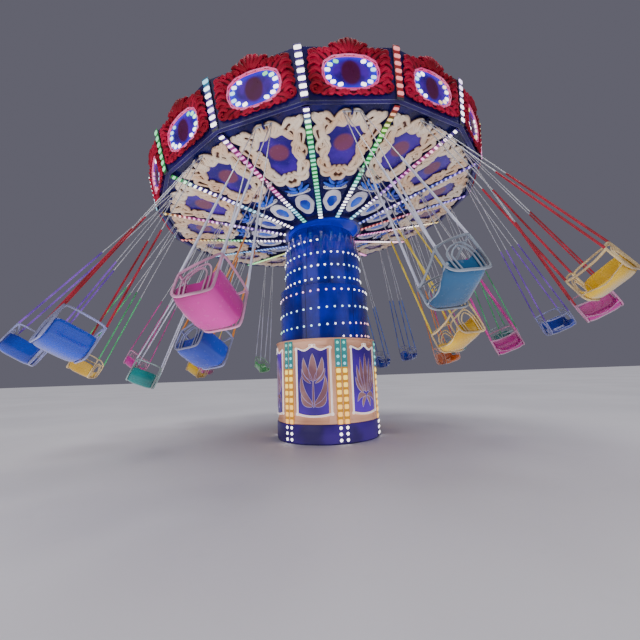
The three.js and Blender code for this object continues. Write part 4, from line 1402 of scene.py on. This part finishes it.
lamps, channels = [], []
for k, run in enumerate(BAR_RUNS):
    for i in range(BARS):
        colour = hue(run, i / (BARS - 1))
        for group, sink, shade in ((lamps, 0.0, colour), (channels, CHANNEL_SINK, glow_of(colour))):
            spot = face_place(on_corner, 0, LOWEST_BAR + i * BAR_PITCH, STRIP_DEPTH - sink)
            group.append((sector_place(k) @ spot, shade))
scattered("rim_bar_lamps", bar_lamp, lamps, "canopy", lamp_bright)
scattered("rim_bar_channels", bar_channel, channels, "canopy", lamp_channel, 0)

lamps = []
for k, runs in enumerate(ARC_RUNS):
    for side, run in zip((-1, 1), runs.split("/")):
        for i in range(ARC_LAMPS):
            angle = ARC_FIRST + i * ARC_STEP
            a, b = rounded_point(angle, ARC_HALF, ARC_RISE)
            spot = sector_place(k + 0.5) @ face_place(on_face, side * a, b, 0.02, side * 0.2 * angle)
            lamps.append((spot, hue(run, i / (ARC_LAMPS - 1))))
scattered("frame_lamps", arc_lamp, lamps, "canopy", lamp_bright)

# %% [markdown]
# Bars of lamps line every rib, from the hub to the rim, and each rib plays its own run of colours.
# They sit in a channel that glows with the colour of their light, a painted glow.

# %% Rib lamps
RIB_DEPTH = 0.062
RIB_LAMPS = 28
RIB_FIRST, RIB_PITCH = 3.59, 0.0965
RIB_RUNS = (
    "WGTGTTW RLGGTWWC WPMVWC VBIB VBRR YWPM PWM MW WC VP GY CB RYGWI YMIVW GWICWW WMMPMWCT").split()
rib_lamp = lens("rib_lamp", 0.09, 0.043, 0.015, 0.22)
rib_channel = backing("rib_channel", 0.1, RIB_PITCH - 0.001)
facing = Matrix.Rotation(math.pi - math.atan(CEILING_SLOPE), 4, "X")
lamps, channels = [], []
for k, run in enumerate(RIB_RUNS):
    for i in range(RIB_LAMPS):
        radius = RIB_FIRST - i * RIB_PITCH
        colour = hue(run, i / (RIB_LAMPS - 1))
        for group, sink, shade in ((lamps, 0.0, colour), (channels, CHANNEL_SINK, glow_of(colour))):
            spot = Matrix.Translation((0, -radius, ceiling_z(radius) - RIB_DEPTH + sink))
            group.append((sector_place(k) @ spot @ facing, shade))
scattered("rib_bar_lamps", rib_lamp, lamps, "canopy", lamp_bright)
scattered("rib_bar_channels", rib_channel, channels, "canopy", lamp_channel, 0)

# %% [markdown]
# The fields of the ceiling are framed by thick gilt scrolls, made of many strands that cross. So
# one helper plaits a strand between the two edges of an outline, and another lays three strands
# beside each other as a rope. A rule carries flat points to the sloping ceiling.

# %% Strands and ropes
FACET_TAN = CEILING_SLOPE / math.cos(HALF_SECTOR)
FACET_ANGLE = math.atan(FACET_TAN)
SCROLL_EDGE = [
    (0, 3.54, 0, 3.21), (0.08, 3.53, 0.05, 3.2), (0.15, 3.49, 0.1, 3.21), (0.21, 3.46, 0.15, 3.18),
    (0.27, 3.39, 0.22, 3.13), (0.34, 3.43, 0.28, 3.08), (0.43, 3.49, 0.33, 3.04), (0.55, 3.5, 0.34, 2.99),
    (0.615, 3.45, 0.31, 2.95), (0.57, 3.38, 0.26, 2.92), (0.51, 3.34, 0.22, 2.88), (0.56, 3.28, 0.2, 2.84),
    (0.58, 3.19, 0.2, 2.79), (0.56, 3.07, 0.215, 2.74), (0.535, 2.95, 0.25, 2.69), (0.5, 2.82, 0.27, 2.63),
    (0.46, 2.72, 0.26, 2.57), (0.38, 2.67, 0.22, 2.52), (0.37, 2.6, 0.2, 2.47), (0.44, 2.54, 0.19, 2.42),
    (0.425, 2.43, 0.16, 2.38), (0.4, 2.32, 0.13, 2.35), (0.33, 2.23, 0.1, 2.36), (0.26, 2.17, 0.07, 2.4),
    (0.17, 2.1, 0.05, 2.43), (0.08, 2.04, 0.02, 2.44), (0, 2.07, 0, 2.43)]


def on_ceiling(a, p, h):
    """Lays flat points under a sector of the ceiling at the front: across, distance, down."""
    height = ceiling_z(0) + p * FACET_TAN - h * math.cos(FACET_ANGLE)
    return Vector((a, -p - h * math.sin(FACET_ANGLE), height))


def half_width(p):
    return p * math.tan(HALF_SECTOR) - 0.06


def bed(along, across):
    """The low ground between the strands, darkened nearly all over with painted shade."""
    return 0.006 + 0.01 * math.sin(math.pi * across), 0.12


def between(edges, share):
    """A point between the two edges of an outline."""
    a0, p0, a1, p1 = edges
    return a0 + (a1 - a0) * share, p0 + (p1 - p0) * share


def strand(outline, phase, waves, thickness):
    """A strand that wanders between the two edges of an outline, in front of the others and behind."""
    line = []
    for i, edges in enumerate(outline):
        along = folded(i / len(outline))
        share = 0.5 + 0.36 * math.sin(TURN * (waves * along + phase))
        share += 0.1 * math.sin(TURN * (5 * along + 2 * phase))
        out = 0.028 + 0.014 * math.cos(TURN * (2 * waves * along + phase))
        full = thickness * (0.85 + 0.35 * math.sin(TURN * (4 * along + phase)))
        line.append((*between(edges, share), out, full))
    return line


def rope(points, wide):
    """Three strands beside each other along a smooth line of (share, distance) points."""
    line = through([(share * half_width(p), p) for share, p in points], 5)
    last = len(line) - 1
    strands = []
    for offset, out, thickness in ((0, 0.034, 0.4), (-0.62, 0.026, 0.3), (0.62, 0.026, 0.3)):
        strand = []
        for i, (a, p) in enumerate(line):
            (a0, p0), (a1, p1) = line[max(0, i - 1)], line[min(last, i + 1)]
            full = wide * (0.3 + 0.7 * math.sin(math.pi * (0.12 + 0.76 * i / last)))
            shift = offset * full / (math.hypot(a1 - a0, p1 - p0) or 1)
            strand.append((a - (p1 - p0) * shift, p + (a1 - a0) * shift, out, thickness * full))
        strands.append(strand)
    return strands


scroll_outline = whole(through(SCROLL_EDGE, 4))
print("points round a scroll frame:", len(scroll_outline))

# %% [markdown]
# The ground of each frame is a carved plate with a window, whose edge bites in at the ribs. The
# plait goes round on it, and ropes, leaves and small scrolls lie on top, mirrored left and right.

# %% Ceiling scrolls
scrolls = rope([
    (0.55, 3.3), (0.76, 3.15), (0.72, 2.98), (0.55, 2.8), (0.66, 2.62), (0.8, 2.45), (0.66, 2.3),
    (0.35, 2.2)], 0.05)
scrolls += rope([(0.05, 3.3), (0.3, 3.28), (0.5, 3.2), (0.66, 3.05)], 0.045)
scrolls += rope([(0.93, 3.42), (0.8, 3.38), (0.6, 3.24)], 0.035)
scrolls += [curl(*spiral, 0.02, 0.034) for spiral in (
    (0.45, 3.38, 0.06, 0.4, 1.4), (0.13, 2.2, 0.06, 2.4, -1.3), (0.3, 2.32, 0.05, 0.6, 1.2),
    (0.04, 2.34, 0.05, 2.2, 1.1), (0.4, 2.85, 0.055, 2.6, 1.2), (0.3, 2.5, 0.045, 2.6, -1.2))]
for i in range(4):
    spread = i * 0.065
    scrolls.append(leaf([
        (spread * 0.4, 3.26, 0.04), (spread * 0.9, 3.38, 0.046), (spread, 3.5 - i * 0.022, 0.02)], 0.034))
ground = [(*between(edges, 0.14), *between(edges, 0.88)) for edges in scroll_outline]
scroll_plate = carved("ceiling_carving", ground, 3, bed, on_ceiling, 0.006)
strands = [strand(scroll_outline, phase, 2.5, 0.042) for phase in (0.0, 0.33, 0.66)]
braid = shade_by_facing(swept("ceiling_braid", strands, on_ceiling, sides=1, closed=True), on_ceiling)
gilt = shade_by_facing(swept("ceiling_scrolls", mirrored(scrolls), on_ceiling, sides=1), on_ceiling)
for part in (scroll_plate, braid, gilt):
    sixteen(part, scroll_gilt)

# %% [markdown]
# Nearer to the hub each field carries a silver plaque with a blue gem, and a spray of blue and
# silver leaves between it and the scrolls.

# %% Ceiling plaques
PLAQUE_MIDDLE = 1.43
PLAQUE_CORNERS = 40


def plaque_line(half_across, half_along, out, thickness, count=32):
    """A plaque's outline: broad towards the rim, pointed towards the hub."""
    line = []
    for i in range(count):
        angle = i * TURN / count
        along = math.sin(angle)
        width = half_across * math.cos(angle) * (1 + 0.22 * along) * (1 + 0.05 * math.cos(6 * angle))
        line.append((width, PLAQUE_MIDDLE + half_along * along, out, thickness))
    return line


def plaque(name, half_across, half_along, low, high, belly):
    """A filled plaque with the same outline, laid on the ceiling."""
    outline = plaque_line(half_across, half_along, 0, 0, PLAQUE_CORNERS)

    def lay(angle, reach, out):
        a, p, _, _ = outline[round(angle % TURN / TURN * PLAQUE_CORNERS) % PLAQUE_CORNERS]
        return on_ceiling(a * reach, PLAQUE_MIDDLE + (p - PLAQUE_MIDDLE) * reach, out)

    return bulged(name, PLAQUE_CORNERS, [(0.25, 0.6), (0.25, 0.3), (0.25, 0.1)], low, high, belly, lay, 50)


lines = [plaque_line(0.17, 0.3, 0.012, 0.018), plaque_line(0.115, 0.185, 0.02, 0.014)]
silver = swept("ceiling_cartouche", lines, on_ceiling, sides=1, closed=True)
silver_plate = plaque("ceiling_plaque", 0.17, 0.3, 0.001, 0.01, 0.006)
gem = plaque("ceiling_gem", 0.11, 0.178, 0.008, 0.02, 0.02)
blue_spray = swept("ceiling_blue_spray", mirrored([
    leaf([(0.02, 1.86, 0.02), (0.12, 1.9, 0.03), (0.25, 1.98, 0.02)], 0.04),
    leaf([(0.03, 1.94, 0.02), (0.1, 2.0, 0.03), (0.15, 2.1, 0.02)], 0.035)]), on_ceiling, sides=1)
silver_spray = swept("ceiling_silver_spray", mirrored([
    curl(0.2, 1.86, 0.05, 2.8, 1.2, 0.014, 0.03),
    leaf([(0.0, 1.8, 0.02), (0.09, 1.82, 0.03), (0.2, 1.8, 0.02)], 0.024)]), on_ceiling, sides=1)
for part, finish in (
        (silver, silver_trim), (silver_plate, silver_trim), (gem, gem_blue), (blue_spray, gem_blue),
        (silver_spray, silver_trim)):
    sixteen(part, finish)

# %% [markdown]
# The chairs come in two rings. Their seats are glass-fibre tubs in bright gel coats, so the finish
# has a deep gloss and only a few duller spots. The frame's tubes are enamelled, and the lower half
# of each rod has a coloured sleeve.

# %% Chair finishes
SEAT_COLOURS = {
    "teal": ((0.002, 0.1, 0.1), (0.004, 0.24, 0.24)), "yellow": ((0.6, 0.34, 0.004), (0.9, 0.58, 0.012)),
    "pink": ((0.4, 0.006, 0.2), (0.68, 0.016, 0.38)), "blue": ((0.003, 0.02, 0.26), (0.008, 0.06, 0.6)),
    "orange": ((0.6, 0.12, 0.004), (0.9, 0.22, 0.008)), "green": ((0.03, 0.3, 0.06), (0.08, 0.6, 0.14)),
    "sea": ((0.0, 0.045, 0.12), (0.0, 0.11, 0.28))}
SLEEVE_COLOURS = {
    "red": ((0.28, 0.002, 0.012), (0.52, 0.006, 0.035)), "magenta": ((0.4, 0.01, 0.2), (0.75, 0.04, 0.4)),
    "violet": ((0.12, 0.03, 0.4), (0.3, 0.1, 0.75)), "green": ((0.02, 0.3, 0.08), (0.06, 0.62, 0.2)),
    "blue": ((0.02, 0.06, 0.4), (0.06, 0.2, 0.8)), "white": ((0.5, 0.52, 0.68), (0.76, 0.78, 0.95)),
    "orange": ((0.6, 0.16, 0.01), (0.9, 0.32, 0.04)), "yellow": ((0.62, 0.42, 0.02), (0.9, 0.7, 0.06))}
seat_finish, tube_finish = {}, {}
for name, (dark, light) in SEAT_COLOURS.items():
    seat_finish[name] = painted(
        f"seat_{name}", dark, light, 0.14, grain=5, wear=0.12, depth=0.0006,
        Coat_Weight=1.0, Coat_Roughness=0.05)
    enamel = tuple(0.5 * c + 0.2 for c in dark), tuple(0.6 * c + 0.32 for c in light)
    tube_finish[name] = painted(f"tube_{name}", *enamel, 0.25, grain=12)
rod_sleeve = {
    name: painted(f"rod_sleeve_{name}", *tones, 0.3, grain=12, Coat_Weight=0.5)
    for name, tones in SLEEVE_COLOURS.items()}
rod_silver = painted(
    "rod_silver", (0.6, 0.62, 0.66), (0.85, 0.87, 0.9), 0.22, grain=8, wear=0.2, Metallic=0.6)
print("finishes with the chairs':", len(bpy.data.materials))

# %% [markdown]
# One chair is modelled, hanging from the origin, with its front towards -Y. The tub starts as the
# flat profile of its back and seat, which is extruded across in steps. The side edges of
# the pan then turn up, and a subdivision makes the gel coat's soft curves.

# %% Seat tub
SEAT_HALF = 0.226
PROFILE = [
    (0.192, -3.495), (0.197, -3.58), (0.194, -3.69), (0.172, -3.755), (0.115, -3.79), (0.0, -3.797),
    (-0.11, -3.794), (-0.175, -3.78), (-0.2, -3.755), (-0.196, -3.735), (-0.17, -3.727), (-0.08, -3.733),
    (0.04, -3.745), (0.11, -3.74), (0.15, -3.7), (0.166, -3.61), (0.172, -3.53), (0.176, -3.497)]

tub = drawn("seat_tub", (-SEAT_HALF, *PROFILE[0]), [
    (0, y1 - y0, z1 - z0) for (y0, z0), (y1, z1) in zip(PROFILE, PROFILE[1:] + PROFILE[:1])])
bpy.ops.mesh.edge_face_add()
for step in (0.02, 0.05, 0.08, 0.076, 0.076, 0.08, 0.05, 0.02):
    bpy.ops.mesh.extrude_region_move(TRANSFORM_OT_translate={"value": (step, 0, 0)})
close_up()
for vertex in tub.data.vertices:
    x, y, z = vertex.co
    edge = max(0, abs(x) - 0.15) / (SEAT_HALF - 0.15)
    on_pan = max(0, min(1, (0.17 - y) / 0.06)) if z > -3.76 else 0
    vertex.co.z += 0.075 * edge ** 2 * on_pan
    if z < -3.7:
        vertex.co.z += 0.03 * edge ** 2
    vertex.co.z -= 0.02 * edge ** 2 if z > -3.505 else 0
modify(tub, "SUBSURF", levels=1, render_levels=1)
smooth(tub, 60)
print("tub faces:", len(tub.data.polygons))

# %% [markdown]
# The frame is bent tube: a closed loop on each side, two hoops inside it, a rounded rail behind the
# shoulders, the bar across the lap and a peg for the feet. The four rods gather at a short hanger
# bar, where the chair swings.

# %% Chair tubes and rods
TUBE, HOOP, LAP_BAR, FOOT_PEG = 0.0125, 0.0085, 0.014, 0.009
FRAME_HALF = 0.233
SIDE_LOOP = [
    (0.188, -3.36), (0.15, -3.345), (-0.02, -3.4), (-0.15, -3.465), (-0.188, -3.5), (-0.19, -3.62),
    (-0.18, -3.72), (-0.12, -3.765), (0.0, -3.768), (0.14, -3.765), (0.188, -3.72), (0.19, -3.5),
    (0.188, -3.36)]


def tube(points, thickness=TUBE):
    return [(x, y, z, thickness) for x, y, z in through(points, 4)]


def across_tube(half, middle, thickness=TUBE):
    """A tube from side to side: its left half, its middle and the mirror image."""
    return tube(half + [middle] + [(-x, y, z) for x, y, z in half[::-1]], thickness)


def side_hoop(x, shrink):
    """One of the hoops inside a side loop."""
    return tube([
        (x, 0.188 - shrink, -3.76), (x, 0.18 - shrink, -3.56), (x, 0.12 - shrink, -3.4 - shrink),
        (x, -0.03, -3.43 - shrink), (x, -0.13 + shrink * 0.6, -3.5 - shrink), (x, -0.17 + shrink, -3.62),
        (x, -0.15 + shrink, -3.76)], HOOP)


tubes = []
for x in (-FRAME_HALF, FRAME_HALF):
    tubes.append(tube([(x, y, z) for y, z in SIDE_LOOP]))
    tubes += [side_hoop(x, shrink) for shrink in (0.045, 0.085)]
shoulder = [(-FRAME_HALF, 0.186, -3.42), (-0.215, 0.188, -3.355), (-0.14, 0.19, -3.34)]
tubes += [
    across_tube(shoulder, (0, 0.191, -3.338)),
    across_tube([(-FRAME_HALF, -0.187, -3.49), (-0.12, -0.19, -3.512)], (0, -0.19, -3.516), LAP_BAR),
    across_tube([(-FRAME_HALF, -0.189, -3.7)], (0, -0.19, -3.76), FOOT_PEG)]
chair_frame = swept("chair_frame", tubes, flat, sides=1)

ROD, SLEEVE, HINGE_BAR = 0.0075, 0.0135, 0.012
uppers, lowers = [], []
for x in (-1, 1):
    for y, height, front in ((-0.132, -3.475, -0.18), (0.132, -3.34, 0.18)):
        top, foot = Vector((x * 0.012, y, -0.004)), Vector((x * FRAME_HALF, front, height))
        middle = top.lerp(foot, 0.52)
        uppers.append([(*top, ROD), (*middle, ROD)])
        lowers.append([(*middle, 0.0125), (*top.lerp(foot, 0.54), SLEEVE), (*foot, SLEEVE)])
uppers.append([(0, -0.15, 0, HINGE_BAR), (0, 0.15, 0, HINGE_BAR)])
rods_upper = swept("chair_rods", uppers, flat)
rods_lower = swept("chair_rod_sleeves", lowers, flat)
print("tubes:", len(tubes), "rods:", len(lowers))

# %% [markdown]
# Each pair of words gives the colours of a chair's seat and of the sleeves on its rods. Every chair
# gets its own copies, placed by its joint: the hinge gives the spot, and the joint's
# limit gives how far the chair is flung out at rest. Seat, frame, rods and sleeves together stand
# for the chair's solid.

# %% Two rings of chairs
OUTER_CHAIRS = (
    "sea/white yellow/red pink/red blue/violet teal/green teal/magenta blue/blue orange/orange "
    "blue/blue green/white pink/magenta pink/magenta yellow/green blue/violet blue/red pink/white").split()
INNER_CHAIRS = (
    "yellow/yellow pink/magenta orange/orange blue/blue blue/blue yellow/yellow teal/white "
    "blue/orange").split()
SWING_LIMIT = 46.0
chairs = [(f"outer_chair_{i + 1:02d}", *colours.split("/")) for i, colours in enumerate(OUTER_CHAIRS)]
chairs += [(f"inner_chair_{i + 1}", *colours.split("/")) for i, colours in enumerate(INNER_CHAIRS)]
for name, seat, sleeve in chairs:
    joint = joints[f"{name}_swing"]
    spot = CANOPY.inverted() @ Vector(joint["pos_m"])
    fling = math.radians(SWING_LIMIT - joint["range_deg"][1])
    ray = Matrix.Rotation(math.atan2(spot.x, -spot.y) - math.pi / 2, 4, "Z")
    reach = Matrix.Translation((math.hypot(spot.x, spot.y), 0, spot.z))
    place = CANOPY @ ray @ reach @ Matrix.Rotation(-fling, 4, "Y")
    for part, finish in (
            (tub, seat_finish[seat]), (chair_frame, tube_finish[seat]), (rods_upper, rod_silver),
            (rods_lower, rod_sleeve[sleeve])):
        dress(copied(part, f"{name}_{part.name}", place), joint["child"], finish, [name])
for part in (
        tub, chair_frame, rods_upper, rods_lower, square_lamp, cool_dome, small_dome, round_lamp, bar_lamp,
        arc_lamp, rib_lamp, column_channel, bar_channel, rib_channel):
    bpy.data.objects.remove(part)
print("chairs:", len(chairs))

# %% [markdown]
# The ride stands on a plain pale floor under soft studio light. The light is kept low, so that the
# lamps read as lit. It comes from a wide, even light overhead, which the floor throws back up,
# from two very large soft panels in front, whose reflections are too faint to glare, and from a
# panel at floor height that lifts the underside.

# %% Stage and light
FLOOR_SIZE = 300
bpy.ops.object.select_all(action="DESELECT")
bpy.ops.mesh.primitive_plane_add(size=FLOOR_SIZE, location=(0, 0, 0))
floor = bpy.context.object
floor.name = "floor"
floor_finish = painted("floor_pale", (0.78, 0.77, 0.82), (0.84, 0.83, 0.88), 0.5, grain=0.8, wear=0.06)
floor.data.materials.append(floor_finish.material)

world = bpy.data.worlds.new("studio")
world.use_nodes = True
world.node_tree.nodes["Background"].inputs["Color"].default_value = (0.16, 0.155, 0.2, 1)
world.node_tree.nodes["Background"].inputs["Strength"].default_value = 0.8
bpy.context.scene.world = world


def panel_light(name, place, target, size, power, colour, mirrored_in_gloss=True):
    """A soft square panel, which the camera itself doesn't see."""
    light = bpy.data.objects.new(name, bpy.data.lights.new(name, "AREA"))
    light.data.size = size
    light.data.energy = power
    light.data.color = colour
    direction = Vector(target) - Vector(place)
    light.matrix_world = Matrix.Translation(place) @ direction.to_track_quat("-Z", "Y").to_matrix().to_4x4()
    light.visible_camera = False
    light.visible_glossy = mirrored_in_gloss
    bpy.context.collection.objects.link(light)


sky = bpy.data.objects.new("overhead", bpy.data.lights.new("overhead", "SUN"))
sky.data.energy = 1.7
sky.data.angle = math.radians(50)
sky.data.color = (1, 0.985, 0.97)
bpy.context.collection.objects.link(sky)
panel_light("key", (-12, -16, 9), (0, 0, 3), 16, 650, (1, 0.97, 0.94))
panel_light("fill", (14, -14, 6), (0, 0, 3), 16, 400, (0.85, 0.9, 1))
panel_light("bounce", (-2, -5, 0.02), (-2, -5, 5), 9, 320, (1, 0.94, 0.93), mirrored_in_gloss=False)
print("lights:", len(bpy.data.lights))
